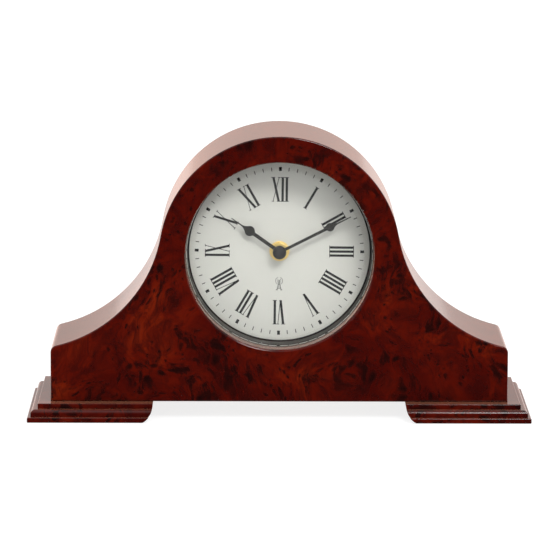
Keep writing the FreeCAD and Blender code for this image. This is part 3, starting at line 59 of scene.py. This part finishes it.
class Nodes:
    """Short calls for building one material's node tree."""

    def __init__(self, name):
        self.material = bpy.data.materials.new(name)
        self.material.use_nodes = True
        self.tree = self.material.node_tree
        self.tree.nodes.clear()
        self.output = self.tree.nodes.new("ShaderNodeOutputMaterial")
        self.shader = self.add("BsdfPrincipled")
        self.link(self.shader.outputs[0], self.output.inputs["Surface"])

    def add(self, kind, **settings):
        node = self.tree.nodes.new("ShaderNode" + kind)
        for key, value in settings.items():
            setattr(node, key, value)
        return node

    def link(self, source, target):
        self.tree.links.new(source, target)

    def feed(self, socket, value):
        """Sets a socket from a number, a colour or another node's output."""
        if isinstance(value, bpy.types.NodeSocket):
            self.link(value, socket)
        elif isinstance(value, (tuple, list)) and len(socket.default_value) == 4 and len(value) == 3:
            socket.default_value = (*value, 1.0)
        else:
            socket.default_value = value

    def set(self, **values):
        """Sets the main shader's sockets; underscores stand for spaces."""
        for key, value in values.items():
            self.feed(self.shader.inputs[key.replace("_", " ")], value)

    def place(self, scale=(1, 1, 1), shift=(0, 0, 0), turn=(0, 0, 0)):
        """Object coordinates in metres, scaled, turned and moved."""
        coords = self.add("TexCoord")
        mapping = self.add("Mapping")
        self.link(coords.outputs["Object"], mapping.inputs["Vector"])
        mapping.inputs["Scale"].default_value = scale
        mapping.inputs["Location"].default_value = shift
        mapping.inputs["Rotation"].default_value = [math.radians(a) for a in turn]
        return mapping.outputs["Vector"]

    def noise(self, vector, scale, detail=3.0, rough=0.5, warp=0.0, out="Fac"):
        node = self.add("TexNoise")
        self.link(vector, node.inputs["Vector"])
        node.inputs["Scale"].default_value = scale
        node.inputs["Detail"].default_value = detail
        node.inputs["Roughness"].default_value = rough
        node.inputs["Distortion"].default_value = warp
        return node.outputs[out]

    def cells(self, vector, scale, out="Distance"):
        """Scattered cells: the distance to the nearest centre, or a colour for each cell."""
        node = self.add("TexVoronoi")
        self.link(vector, node.inputs["Vector"])
        node.inputs["Scale"].default_value = scale
        return node.outputs[out]

    def math(self, operation, first, second, clamp=False):
        node = self.add("Math", operation=operation, use_clamp=clamp)
        self.feed(node.inputs[0], first)
        self.feed(node.inputs[1], second)
        return node.outputs[0]

    def vector(self, operation, first, second):
        node = self.add("VectorMath", operation=operation)
        self.feed(node.inputs[0], first)
        self.feed(node.inputs[1], second)
        return node.outputs[0]

    def span(self, value, low, high, to_low=0.0, to_high=1.0):
        """Maps value smoothly from low..high to to_low..to_high, clamped."""
        node = self.add("MapRange", interpolation_type="SMOOTHSTEP")
        self.feed(node.inputs["Value"], value)
        node.inputs["From Min"].default_value = low
        node.inputs["From Max"].default_value = high
        node.inputs["To Min"].default_value = to_low
        node.inputs["To Max"].default_value = to_high
        return node.outputs["Result"]

    def mix(self, factor, first, second, blend="MIX"):
        node = self.add("Mix", data_type="RGBA", blend_type=blend, clamp_factor=True)
        self.feed(node.inputs["Factor"], factor)
        self.feed(node.inputs[6], first)
        self.feed(node.inputs[7], second)
        return node.outputs[2]

    def ramp(self, value, *stops):
        node = self.add("ValToRGB")
        self.feed(node.inputs["Fac"], value)
        elements = node.color_ramp.elements
        while len(elements) < len(stops):
            elements.new(0.5)
        for element, (position, colour) in zip(elements, stops):
            element.position = position
            element.color = (*colour, 1.0)
        return node.outputs["Color"]

    def bump(self, height, distance, strength):
        node = self.add("Bump")
        self.link(height, node.inputs["Height"])
        node.inputs["Distance"].default_value = distance
        node.inputs["Strength"].default_value = strength
        self.link(node.outputs["Normal"], self.shader.inputs["Normal"])


# ---------------------------------------------------------------- materials

METAL_UNEVENNESS = 0.12
MOULDED_UNEVENNESS = 0.15
BURL_SWAY = 0.06


def dimmed(colour, share):
    """The colour, darker by a share."""
    return tuple(c * (1 - share) for c in colour)


def burl_veneer():
    """Red brown burl under gloss lacquer: soft clouds, short wavering grain and clustered eyes."""
    n = Nodes("burl_veneer")
    place = n.place(shift=(0.37, 0.11, 0.23))
    sway = n.noise(place, 16.0, 3.0, out="Color")
    offset = n.vector("MULTIPLY", n.vector("SUBTRACT", sway, (0.5, 0.5, 0.5)), (BURL_SWAY,) * 3)
    bent = n.vector("ADD", place, offset)
    clouds = n.noise(bent, 16.0, 4.0, 0.62)
    fleck = n.noise(bent, 85.0, 4.0, 0.68, 0.8)
    stretched = n.vector("MULTIPLY", bent, (1.0, 1.0, 0.30))
    grain = n.noise(stretched, 300.0, 3.0, 0.6, 0.8)
    base = n.ramp(clouds, (0.28, (0.029, 0.0008, 0.0005)), (0.44, (0.056, 0.0018, 0.0005)),
                  (0.58, (0.089, 0.0038, 0.0005)), (0.72, (0.145, 0.0105, 0.0011)))
    base = n.mix(n.span(fleck, 0.40, 0.66, 0.0, 0.75), base, (0.026, 0.0014, 0.0012))
    base = n.mix(n.span(grain, 0.46, 0.70, 0.0, 0.60), base, (0.032, 0.0018, 0.0012))
    where = n.span(n.noise(bent, 26.0, 2.0, 0.5), 0.47, 0.58)
    spread = n.span(n.noise(bent, 48.0, 2.0, 0.5), 0.44, 0.58)
    for scale, reach, depth, zone in ((120.0, 0.52, 0.92, where), (240.0, 0.50, 0.80, spread)):
        eye = n.span(n.cells(bent, scale), 0.14, reach, 1.0, 0.0)
        keep = n.span(n.cells(bent, scale, out="Color"), 0.38, 0.55)
        dark = n.math("MULTIPLY", n.math("MULTIPLY", eye, zone), keep)
        base = n.mix(n.math("MULTIPLY", dark, depth), base, (0.007, 0.0012, 0.0012))
    smudge = n.math("MULTIPLY", n.span(n.noise(stretched, 150.0, 2.5, 0.6), 0.48, 0.64), where)
    base = n.mix(n.math("MULTIPLY", smudge, 0.85), base, (0.009, 0.0014, 0.0014))
    n.set(Base_Color=base, Roughness=0.55, Specular_IOR_Level=0.0, Coat_Weight=1.0,
          Coat_Roughness=0.10, Coat_IOR=1.5, Sheen_Weight=0.42, Sheen_Roughness=0.35,
          Sheen_Tint=(1.0, 0.42, 0.24))
    n.bump(n.noise(place, 14.0, 1.0), 0.00004, 0.5)
    return n.material


def plain_wood():
    """Bare softwood with long grain."""
    n = Nodes("plain_wood")
    place = n.place(scale=(0.12, 1.0, 1.0))
    rings = n.noise(place, 90.0, 4.0, 0.6, 1.2)
    fine = n.noise(place, 900.0, 2.0)
    colour = n.ramp(rings, (0.3, (0.40, 0.25, 0.13)), (0.55, (0.58, 0.40, 0.22)),
                    (0.75, (0.47, 0.30, 0.15)))
    colour = n.mix(n.span(fine, 0.5, 0.8, 0.0, 0.3), colour, (0.26, 0.15, 0.07))
    n.set(Base_Color=colour, Roughness=n.span(fine, 0.3, 0.7, 0.62, 0.78))
    n.bump(fine, 0.00008, 0.6)
    return n.material


def back_board():
    """Stained board with a faint straight grain and a satin finish."""
    n = Nodes("back_board")
    place = n.place(scale=(0.10, 1.0, 1.0), shift=(0.2, 0.0, 0.4))
    grain = n.noise(place, 160.0, 4.0, 0.6, 0.9)
    pores = n.noise(place, 1100.0, 2.0)
    colour = n.ramp(grain, (0.3, (0.030, 0.0075, 0.0045)), (0.6, (0.058, 0.015, 0.009)),
                    (0.8, (0.040, 0.010, 0.006)))
    colour = n.mix(n.span(pores, 0.55, 0.75, 0.0, 0.6), colour, (0.012, 0.004, 0.003))
    n.set(Base_Color=colour, Roughness=n.span(pores, 0.3, 0.7, 0.34, 0.5))
    n.bump(pores, 0.00006, 0.5)
    return n.material


def clear_glass():
    """Clear glass that lets the lamp through to the dial without a shadow of its own."""
    n = Nodes("glass")
    smear = n.noise(n.place(), 35.0, 3.0)
    tint = n.mix(n.span(smear, 0.4, 0.8), (1.0, 1.0, 1.0), (0.985, 0.992, 0.988))
    n.set(Base_Color=tint, Transmission_Weight=1.0, IOR=1.5, Roughness=0.0)
    clear = n.add("BsdfTransparent")
    clear.inputs["Color"].default_value = (0.97, 0.975, 0.97, 1.0)
    choose = n.add("MixShader")
    path = n.add("LightPath")
    n.link(path.outputs["Is Shadow Ray"], choose.inputs[0])
    n.link(n.shader.outputs[0], choose.inputs[1])
    n.link(clear.outputs[0], choose.inputs[2])
    n.link(choose.outputs[0], n.output.inputs["Surface"])
    return n.material


def satin_metal(name, colour, rough, turned=False, metallic=1.0):
    """Metal with fine turning or rolling marks and slightly uneven tone."""
    n = Nodes(name)
    place = n.place(scale=(1.0, 9.0, 1.0) if turned else (1.0, 1.0, 0.15))
    marks = n.noise(place, 900.0, 2.0)
    tone = n.noise(n.place(), 60.0, 3.0)
    shade = n.mix(n.span(tone, 0.35, 0.65), colour, dimmed(colour, METAL_UNEVENNESS))
    n.set(Base_Color=shade, Metallic=metallic,
          Roughness=n.span(marks, 0.3, 0.7, rough * 0.85, rough * 1.15))
    n.bump(marks, 0.00001, 0.5)
    return n.material


def moulded(name, colour, rough, grain=1500.0, depth=0.00002, gloss=0.5):
    """Moulded plastic, rubber, paint or ink with a fine surface grain."""
    n = Nodes(name)
    place = n.place()
    fine = n.noise(place, grain, 2.0)
    tone = n.noise(place, 45.0, 3.0)
    shade = n.mix(n.span(tone, 0.35, 0.65), colour, dimmed(colour, MOULDED_UNEVENNESS))
    n.set(Base_Color=shade, Roughness=n.span(fine, 0.3, 0.7, rough * 0.9, min(1.0, rough * 1.1)),
          Specular_IOR_Level=gloss)
    n.bump(fine, depth, 0.5)
    return n.material


def felt():
    """Pressed felt with matted fibres."""
    n = Nodes("felt")
    place = n.place()
    fibre = n.noise(place, 1600.0, 4.0, 0.7, 1.5)
    colour = n.mix(n.span(fibre, 0.35, 0.7), (0.010, 0.028, 0.014), (0.035, 0.070, 0.040))
    n.set(Base_Color=colour, Roughness=0.95, Sheen_Weight=0.4)
    n.bump(fibre, 0.0002, 0.8)
    return n.material


def wound_wire():
    """Enamelled copper wire laid side by side, with painted shade in the grooves between turns."""
    n = Nodes("copper")
    waves = n.add("TexWave", wave_type="BANDS", bands_direction="X")
    n.link(n.place(), waves.inputs["Vector"])
    waves.inputs["Scale"].default_value = 1100.0
    waves.inputs["Distortion"].default_value = 0.4
    # Painted shade: the colour goes from copper to dark copper towards the grooves between turns,
    # following the bump's bands.
    colour = n.mix(waves.outputs["Fac"], (0.18, 0.045, 0.015), (0.62, 0.24, 0.10))
    n.set(Base_Color=colour, Metallic=0.8, Roughness=0.32)
    n.bump(waves.outputs["Fac"], 0.00012, 1.0)
    return n.material


def circuit_board():
    """Green solder mask with a faint pattern of tracks under it."""
    n = Nodes("board")
    place = n.place()
    tracks = n.add("TexBrick", offset=0.35, squash=1.0)
    n.link(n.place(turn=(90, 0, 0)), tracks.inputs["Vector"])
    tracks.inputs["Scale"].default_value = 180.0
    tracks.inputs["Mortar Size"].default_value = 0.06
    tracks.inputs["Color1"].default_value = (0.010, 0.085, 0.030, 1)
    tracks.inputs["Color2"].default_value = (0.012, 0.100, 0.036, 1)
    tracks.inputs["Mortar"].default_value = (0.030, 0.170, 0.060, 1)
    shade = n.mix(n.span(n.noise(place, 70.0), 0.4, 0.6, 0.0, 0.4), tracks.outputs["Color"],
                  (0.008, 0.070, 0.026))
    n.set(Base_Color=shade, Roughness=0.28, Coat_Weight=0.4, Coat_Roughness=0.12)
    return n.material


def cell_jacket():
    """The cell's jacket: a copper coloured end, a dark body and bare metal tips, with no lettering."""
    n = Nodes("cell_jacket")
    coords = n.add("TexCoord")
    split = n.add("SeparateXYZ")
    n.link(coords.outputs["Object"], split.inputs[0])
    body = n.span(split.outputs["X"], 0.0105, 0.0107, 0.0, 1.0)
    metal = n.span(split.outputs["X"], 0.0252, 0.0253, 0.0, 1.0)
    tail = n.span(split.outputs["X"], -0.0238, -0.0237, 1.0, 0.0)
    scuff = n.noise(n.place(), 220.0, 4.0, 0.7)
    shade = n.mix(body, (0.012, 0.012, 0.016), (0.55, 0.25, 0.09))
    shade = n.mix(n.math("MAXIMUM", metal, tail), shade, (0.62, 0.62, 0.60))
    shade = n.mix(n.span(scuff, 0.55, 0.8, 0.0, 0.25), shade, (0.2, 0.2, 0.2))
    n.set(Base_Color=shade, Metallic=0.7, Roughness=n.span(scuff, 0.3, 0.7, 0.24, 0.36))
    return n.material


def dial_paint():
    """White dial paint with a very fine orange peel."""
    n = Nodes("dial_white")
    place = n.place()
    tone = n.noise(place, 22.0, 3.0)
    shade = n.mix(n.span(tone, 0.35, 0.65), (0.650, 0.650, 0.595), (0.630, 0.630, 0.577))
    n.set(Base_Color=shade, Roughness=0.45, Specular_IOR_Level=0.3)
    n.bump(n.noise(place, 1800.0, 2.0), 0.000008, 0.4)
    return n.material


FLOOR_GLOW = 1.36
FLOOR_GLOW_SHARE = 0.60
FOREGROUND_FULL = -0.06
FOREGROUND_NONE = -0.02


def floor_paint():
    """White floor with faint shadows. In front of the clock it is dark in the lacquer's mirror
    image, as a studio's foreground is, but not in what is seen through the glass."""
    n = Nodes("floor")
    place = n.place()
    tone = n.noise(place, 3.0, 2.0)
    n.set(Base_Color=n.mix(n.span(tone, 0.4, 0.6), (0.80, 0.80, 0.80), (0.79, 0.79, 0.795)),
          Roughness=0.9, Specular_IOR_Level=0.0)
    dark = n.add("BsdfDiffuse")
    dark.inputs["Color"].default_value = (0.008, 0.008, 0.008, 1)
    glow = n.add("Emission")
    glow.inputs["Strength"].default_value = FLOOR_GLOW
    path = n.add("LightPath")
    seen = n.add("MixShader")
    n.link(n.math("MULTIPLY", path.outputs["Is Camera Ray"], FLOOR_GLOW_SHARE), seen.inputs[0])
    n.link(n.shader.outputs[0], seen.inputs[1])
    n.link(glow.outputs[0], seen.inputs[2])
    split = n.add("SeparateXYZ")
    geometry = n.add("NewGeometry")
    n.link(geometry.outputs["Position"], split.inputs[0])
    ahead = n.span(split.outputs["Y"], FOREGROUND_FULL, FOREGROUND_NONE, 1.0, 0.0)
    choose = n.add("MixShader")
    mirror = n.math("SUBTRACT", path.outputs["Is Glossy Ray"], path.outputs["Is Transmission Ray"],
                    clamp=True)
    n.link(n.math("MULTIPLY", mirror, ahead), choose.inputs[0])
    n.link(seen.outputs[0], choose.inputs[1])
    n.link(dark.outputs[0], choose.inputs[2])
    n.link(choose.outputs[0], n.output.inputs["Surface"])
    return n.material


MATERIALS = {
    "burl_veneer": burl_veneer(),
    "plain_wood": plain_wood(),
    "back_board": back_board(),
    "glass": clear_glass(),
    "satin_silver": satin_metal("satin_silver", (0.085, 0.085, 0.076), 0.72, turned=True, metallic=0.1),
    "black_rubber": moulded("black_rubber", (0.006, 0.0065, 0.007), 0.55, 2200.0),
    "dial_white": dial_paint(),
    "hand_black": moulded("hand_black", (0.014, 0.013, 0.010), 0.60, 2600.0, 0.00001, gloss=0.25),
    "cap_black": moulded("cap_black", (0.012, 0.0105, 0.0095), 0.55, 1200.0, 0.000004, gloss=0.2),
    "brass": satin_metal("brass", (0.98, 0.74, 0.26), 0.46, turned=True, metallic=0.55),
    "zinc_steel": satin_metal("zinc_steel", (0.60, 0.61, 0.60), 0.34),
    "brassed_steel": satin_metal("brassed_steel", (0.70, 0.50, 0.19), 0.30),
    "felt": felt(),
    "case_plastic": moulded("case_plastic", (0.012, 0.012, 0.013), 0.5, 900.0, 0.00006),
    "plate_plastic": moulded("plate_plastic", (0.62, 0.60, 0.54), 0.45),
    "gear_plastic": moulded("gear_plastic", (0.70, 0.67, 0.58), 0.4),
    "button_plastic": moulded("button_plastic", (0.30, 0.02, 0.012), 0.4),
    "magnet": moulded("magnet", (0.045, 0.045, 0.050), 0.38, 1800.0, 0.00003),
    "copper": wound_wire(),
    "laminate": satin_metal("laminate", (0.42, 0.42, 0.40), 0.40),
    "board": circuit_board(),
    "chip": moulded("chip", (0.010, 0.010, 0.011), 0.45, 1800.0),
    "can": satin_metal("can", (0.66, 0.66, 0.66), 0.24),
    "cell_jacket": cell_jacket(),
}

for name, node in nodes.items():
    material = MATERIALS[node_slots[name]]
    if not node.data.materials:
        node.data.materials.append(material)
    for index in range(len(node.data.materials)):
        node.data.materials[index] = material


# ---------------------------------------------------------------- printed dial

dial_low, dial_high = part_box("dial_plate")
AXIS = Vector(((dial_low.x + dial_high.x) / 2, dial_low.y, (dial_low.z + dial_high.z) / 2))
PRINT_FRONT = 0.06 * MM
PRINT_BACK = 0.01 * MM
PRINT_TURN = 0.45
INK = moulded("dial_ink", (0.010, 0.009, 0.009), 0.6, 2400.0, 0.000006, gloss=0.1)
PALE_INK = moulded("mast_ink", (0.034, 0.034, 0.031), 0.6, 2400.0, 0.000006, gloss=0.1)


class Print:
    """Flat shapes on the dial, as thin prisms. Points are (right, up) in millimetres."""

    def __init__(self, name, ink):
        self.mesh = bmesh.new()
        self.name = name
        self.ink = ink

    def shape(self, points, turn=0.0):
        """A convex outline, turned clockwise about the dial's middle by degrees."""
        angle = math.radians(turn + PRINT_TURN)
        sine = math.sin(angle)
        cosine = math.cos(angle)
        flat = [(u * cosine + v * sine, v * cosine - u * sine) for u, v in points]
        area = sum(a[0] * b[1] - b[0] * a[1] for a, b in zip(flat, flat[1:] + flat[:1]))
        if area < 0:
            flat.reverse()
        front = [self.mesh.verts.new((AXIS.x + u * MM, AXIS.y - PRINT_FRONT, AXIS.z + v * MM))
                 for u, v in flat]
        back = [self.mesh.verts.new((AXIS.x + u * MM, AXIS.y - PRINT_BACK, AXIS.z + v * MM))
                for u, v in flat]
        self.mesh.faces.new(front)
        self.mesh.faces.new(list(reversed(back)))
        for i in range(len(flat)):
            j = (i + 1) % len(flat)
            self.mesh.faces.new((front[j], front[i], back[i], back[j]))

    def bar(self, u, low, high, width, turn=0.0, top=None):
        """An upright bar about u, or one that leans to top at its upper end."""
        top = u if top is None else top
        half = width / 2
        self.shape([(u - half, low), (u + half, low), (top + half, high), (top - half, high)], turn)

    def line(self, start, end, width, turn=0.0):
        """A straight stroke between two points."""
        run = Vector(end) - Vector(start)
        side = Vector((-run.y, run.x)).normalized() * (width / 2)
        corners = [Vector(start) - side, Vector(end) - side, Vector(end) + side, Vector(start) + side]
        self.shape([tuple(c) for c in corners], turn)

    def arc(self, centre, radius, width, start, end, steps=10):
        """A stroke along an arc; angles in degrees, anticlockwise from the right."""
        inner = radius - width / 2
        outer = radius + width / 2
        for k in range(steps):
            a, b = (math.radians(start + (end - start) * (k + i) / steps) for i in (0, 1))
            self.shape([(centre[0] + r * math.cos(t), centre[1] + r * math.sin(t))
                        for r, t in ((inner, a), (outer, a), (outer, b), (inner, b))])

    def finish(self):
        """Turns the shapes into one piece that rides on the case."""
        bmesh.ops.recalc_face_normals(self.mesh, faces=self.mesh.faces)
        mesh = bpy.data.meshes.new(self.name)
        self.mesh.to_mesh(mesh)
        self.mesh.free()
        piece = bpy.data.objects.new(self.name, mesh)
        scene.collection.objects.link(piece)
        mesh.materials.append(self.ink)
        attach(piece, "case")


# Sizes of the print in millimetres, from the dial's middle or across a stroke.
NUMERAL_LOW = 34.8
NUMERAL_HIGH = 52.0
THICK = 1.65
THIN = 0.46
PITCH = 2.85
SERIF = 0.45
SERIF_REACH = 0.62
LETTER_WIDTHS = {"I": PITCH, "V": 5.6, "X": 6.4}
V_THICK_FOOT = 0.25
V_THICK_HEAD = -1.75
V_THIN_FOOT = 0.45
V_THIN_HEAD = 2.0
X_THICK_LEAN = 2.0
X_THIN_LEAN = 2.1

TRACK_INNER = 56.4
MINUTE_OUTER = 59.2
MINUTE_WIDTH = 0.55
HOUR_OUTER = 59.4
HOUR_WIDTH = 1.95

MAST_TOP = -21.4
MAST_FOOT = -27.5
MAST_SPREAD = 1.55
MAST_BEAM = 1.0
# For each wave its radius, its width and how far it reaches either way, in degrees.
MAST_WAVES = ((1.3, 0.26, 62), (2.5, 0.30, 72))


def print_numeral(sheet, text, hour):
    """One Roman numeral that stands with its feet towards the dial's middle."""
    turn = hour * 30.0
    low, high = NUMERAL_LOW, NUMERAL_HIGH
    u = -sum(LETTER_WIDTHS[letter] for letter in text) / 2
    for letter in text:
        width = LETTER_WIDTHS[letter]
        middle = u + width / 2
        if letter == "I":
            sheet.bar(middle, low, high, THICK, turn)
            ends = [(middle, high, THICK), (middle, low, THICK)]
        elif letter == "V":
            sheet.bar(middle + V_THICK_FOOT, low, high, THICK, turn, top=middle + V_THICK_HEAD)
            sheet.bar(middle + V_THIN_FOOT, low, high, THIN, turn, top=middle + V_THIN_HEAD)
            ends = [(middle + V_THICK_HEAD, high, THICK), (middle + V_THIN_HEAD, high, THIN)]
        else:
            sheet.bar(middle + X_THICK_LEAN, low, high, THICK, turn, top=middle - X_THICK_LEAN)
            sheet.bar(middle - X_THIN_LEAN, low, high, THIN, turn, top=middle + X_THIN_LEAN)
            ends = [(middle - X_THICK_LEAN, high, THICK), (middle + X_THIN_LEAN, high, THIN),
                    (middle + X_THICK_LEAN, low, THICK), (middle - X_THIN_LEAN, low, THIN)]
        for at, level, stroke in ends:
            reach = stroke / 2 + SERIF_REACH
            base = level - SERIF if level > low else level
            sheet.shape([(at - reach, base), (at + reach, base),
                         (at + reach, base + SERIF), (at - reach, base + SERIF)], turn)
        u += width


def print_mast():
    """A generic radio mast: two legs, braces, a cross beam, two feet and radio waves."""
    mast = Print("radio_mast", PALE_INK)
    top, foot = MAST_TOP, MAST_FOOT
    beam = foot + MAST_BEAM
    for side in (-1, 1):
        mast.line((0.0, top), (side * MAST_SPREAD, foot), 0.34)
        mast.line((side * 0.45, top - 1.8), (-side * 0.85, top - 3.4), 0.20)
        mast.line((side * 0.85, top - 3.4), (-side * 1.30, beam), 0.20)
        mast.line((0.0, beam), (side * 1.30, beam), 0.30)
        mast.line((side * 0.9, foot), (side * 2.3, foot), 0.46)
        middle = 0.0 if side > 0 else 180.0
        for radius, width, reach in MAST_WAVES:
            mast.arc((0.0, top + 0.3), radius, width, middle - reach, middle + reach)
    mast.bar(0.0, top - 0.3, top + 0.9, 0.8)
    mast.finish()


def print_dial():
    """Numerals, minute track and mast."""
    ink = Print("dial_numerals", INK)
    for hour, text in enumerate(("XII", "I", "II", "III", "IIII", "V", "VI", "VII", "VIII",
                                 "IX", "X", "XI")):
        print_numeral(ink, text, hour)
    ink.finish()
    track = Print("minute_track", INK)
    for minute in range(60):
        if minute % 5 == 0:
            track.bar(0.0, TRACK_INNER, HOUR_OUTER, HOUR_WIDTH, minute * 6)
        else:
            track.bar(0.0, TRACK_INNER, MINUTE_OUTER, MINUTE_WIDTH, minute * 6)
    track.finish()
    print_mast()


print_dial()


# ---------------------------------------------------------------- domed glass

GLASS_THICKNESS = 2.0 * MM
GLASS_DOME = 450.0 * MM
GLASS_SHOULDER = 12.0 * MM
GLASS_SHOULDER_START = 57.0 * MM
GLASS_TURNS = 180
DOME_STEPS = 24
SHOULDER_STEPS = 36
SHARP_ANGLE = math.radians(35)
WELD_DISTANCE = 1e-6


def swept(centre, radius, start, stop, steps):
    """Points along an arc, as (radius, depth). Angles run from straight ahead, in radians."""
    angles = (start + (stop - start) * k / steps for k in range(steps + 1))
    return [(centre[0] + radius * math.sin(a), centre[1] - radius * math.cos(a)) for a in angles]


def add_glass():
    """The CAD lens again, more finely turned: a shallow dome, a shoulder and a flat flange.
    Its place comes from the frame; the sizes above are the lens's own."""
    low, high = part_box("glass_lens")
    rim = (high.x - low.x) / 2
    flange_back = high.y
    flange_front = flange_back - GLASS_THICKNESS
    lean = math.asin(GLASS_SHOULDER_START / GLASS_DOME)
    dome = (0.0, low.y + GLASS_DOME)
    inward = GLASS_DOME - GLASS_SHOULDER
    shoulder = (inward * math.sin(lean), dome[1] - inward * math.cos(lean))
    fall = math.acos((shoulder[1] - flange_front) / GLASS_SHOULDER)
    inner = GLASS_SHOULDER - GLASS_THICKNESS
    inner_fall = math.acos((shoulder[1] - flange_back) / inner)
    profile = swept(dome, GLASS_DOME, 0.0, lean, DOME_STEPS)
    profile += swept(shoulder, GLASS_SHOULDER, lean, fall, SHOULDER_STEPS)[1:]
    profile += [(rim, flange_front), (rim, flange_back)]
    profile += swept(shoulder, inner, inner_fall, lean, SHOULDER_STEPS)
    profile += swept(dome, GLASS_DOME - GLASS_THICKNESS, lean, 0.0, DOME_STEPS)[1:]
    bm = bmesh.new()
    corners = [bm.verts.new((AXIS.x + r, y, AXIS.z)) for r, y in profile]
    for first, second in zip(corners, corners[1:]):
        bm.edges.new((first, second))
    bmesh.ops.spin(bm, geom=bm.verts[:] + bm.edges[:], cent=AXIS, axis=(0, 1, 0),
                   angle=math.tau, steps=GLASS_TURNS, use_merge=True)
    bmesh.ops.remove_doubles(bm, verts=bm.verts, dist=WELD_DISTANCE)
    bmesh.ops.recalc_face_normals(bm, faces=bm.faces)
    mesh = bpy.data.meshes.new("clear_dome")
    bm.to_mesh(mesh)
    bm.free()
    mesh.shade_smooth()
    mesh.set_sharp_from_angle(angle=SHARP_ANGLE)
    mesh.materials.append(MATERIALS["glass"])
    piece = bpy.data.objects.new("clear_dome", mesh)
    scene.collection.objects.link(piece)
    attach(piece, "case")
    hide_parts("glass_lens")


add_glass()


# ---------------------------------------------------------------- floor, light, camera

FLOOR_MIDDLE = (0.0, 1.2, 0.0)
FLOOR_SIZE = (14.0, 12.0, 1.0)

bpy.ops.mesh.primitive_plane_add(size=1.0, location=FLOOR_MIDDLE)
floor = bpy.context.object
floor.name = "floor"
floor.scale = FLOOR_SIZE
floor.data.materials.append(floor_paint())

AMBIENT = 1.15
SKY_HEADING = (0.0, 0.8, 1.0)
SKY_DARK_BELOW = -0.45
SKY_BRIGHT_ABOVE = 0.55
SKY_DARK = 0.02
SKY_BRIGHT = 0.65


def add_world():
    """Even white light all round. In mirror images it fades downwards and towards the front,
    but not in what is seen through the glass."""
    world = bpy.data.worlds.new("studio")
    scene.world = world
    world.use_nodes = True
    tree = world.node_tree
    background = tree.nodes["Background"]
    background.inputs["Color"].default_value = (1.0, 1.0, 1.0, 1.0)
    heading = tree.nodes.new("ShaderNodeTexCoord")
    tilt = tree.nodes.new("ShaderNodeVectorMath")
    tilt.operation = "DOT_PRODUCT"
    tilt.inputs[1].default_value = SKY_HEADING
    fade = tree.nodes.new("ShaderNodeMapRange")
    fade.inputs["From Min"].default_value = SKY_DARK_BELOW
    fade.inputs["From Max"].default_value = SKY_BRIGHT_ABOVE
    fade.inputs["To Min"].default_value = SKY_DARK
    fade.inputs["To Max"].default_value = SKY_BRIGHT
    path = tree.nodes.new("ShaderNodeLightPath")
    choose = tree.nodes.new("ShaderNodeMix")
    choose.inputs["A"].default_value = AMBIENT
    tree.links.new(heading.outputs["Generated"], tilt.inputs[0])
    tree.links.new(tilt.outputs["Value"], fade.inputs["Value"])
    mirror = tree.nodes.new("ShaderNodeMath")
    mirror.operation = "SUBTRACT"
    mirror.use_clamp = True
    tree.links.new(path.outputs["Is Glossy Ray"], mirror.inputs[0])
    tree.links.new(path.outputs["Is Transmission Ray"], mirror.inputs[1])
    tree.links.new(mirror.outputs[0], choose.inputs["Factor"])
    tree.links.new(fade.outputs["Result"], choose.inputs["B"])
    tree.links.new(choose.outputs["Result"], background.inputs["Strength"])


add_world()


LAMP_DIRECTION = (0.26, -0.69, 0.68)
LAMP_DISTANCE = 1.4
LAMP_WIDTH = 0.42
LAMP_HEIGHT = 0.30
LAMP_POWER = 7.0


def add_lamp():
    """One soft box that looks at the dial from above, in front and a little to the right."""
    data = bpy.data.lights.new("key", "AREA")
    data.shape = "RECTANGLE"
    data.size = LAMP_WIDTH
    data.size_y = LAMP_HEIGHT
    data.energy = LAMP_POWER
    lamp = bpy.data.objects.new("key", data)
    scene.collection.objects.link(lamp)
    direction = Vector(LAMP_DIRECTION).normalized()
    lamp.location = AXIS + direction * LAMP_DISTANCE
    lamp.rotation_euler = direction.to_track_quat("Z", "Y").to_euler()


add_lamp()

CAMERA_AT = Vector((-0.0223, -2.8055, 0.5523))
CAMERA_PITCH = 0.1626
CAMERA_YAW = 0.00815
CAMERA_ROLL = -0.00354
CAMERA_LENS = 259.95
CAMERA_SENSOR = 36.0
CAMERA_REACH = 50.0


def add_camera():
    """The camera: turned to its heading, pitched down and rolled a little."""
    forward = Vector((math.sin(CAMERA_YAW) * math.cos(CAMERA_PITCH),
                      math.cos(CAMERA_YAW) * math.cos(CAMERA_PITCH), -math.sin(CAMERA_PITCH)))
    right = forward.cross(Vector((0, 0, 1))).normalized()
    down = forward.cross(right)
    sine = math.sin(CAMERA_ROLL)
    cosine = math.cos(CAMERA_ROLL)
    right_rolled = right * cosine + down * sine
    down_rolled = down * cosine - right * sine
    data = bpy.data.cameras.new("camera")
    data.lens = CAMERA_LENS
    data.sensor_width = CAMERA_SENSOR
    data.clip_end = CAMERA_REACH
    camera = bpy.data.objects.new("camera", data)
    scene.collection.objects.link(camera)
    turn = Matrix((right_rolled, -down_rolled, -forward)).transposed()
    camera.matrix_world = Matrix.Translation(CAMERA_AT) @ turn.to_4x4()
    scene.camera = camera


add_camera()
scene.view_settings.view_transform = "Standard"
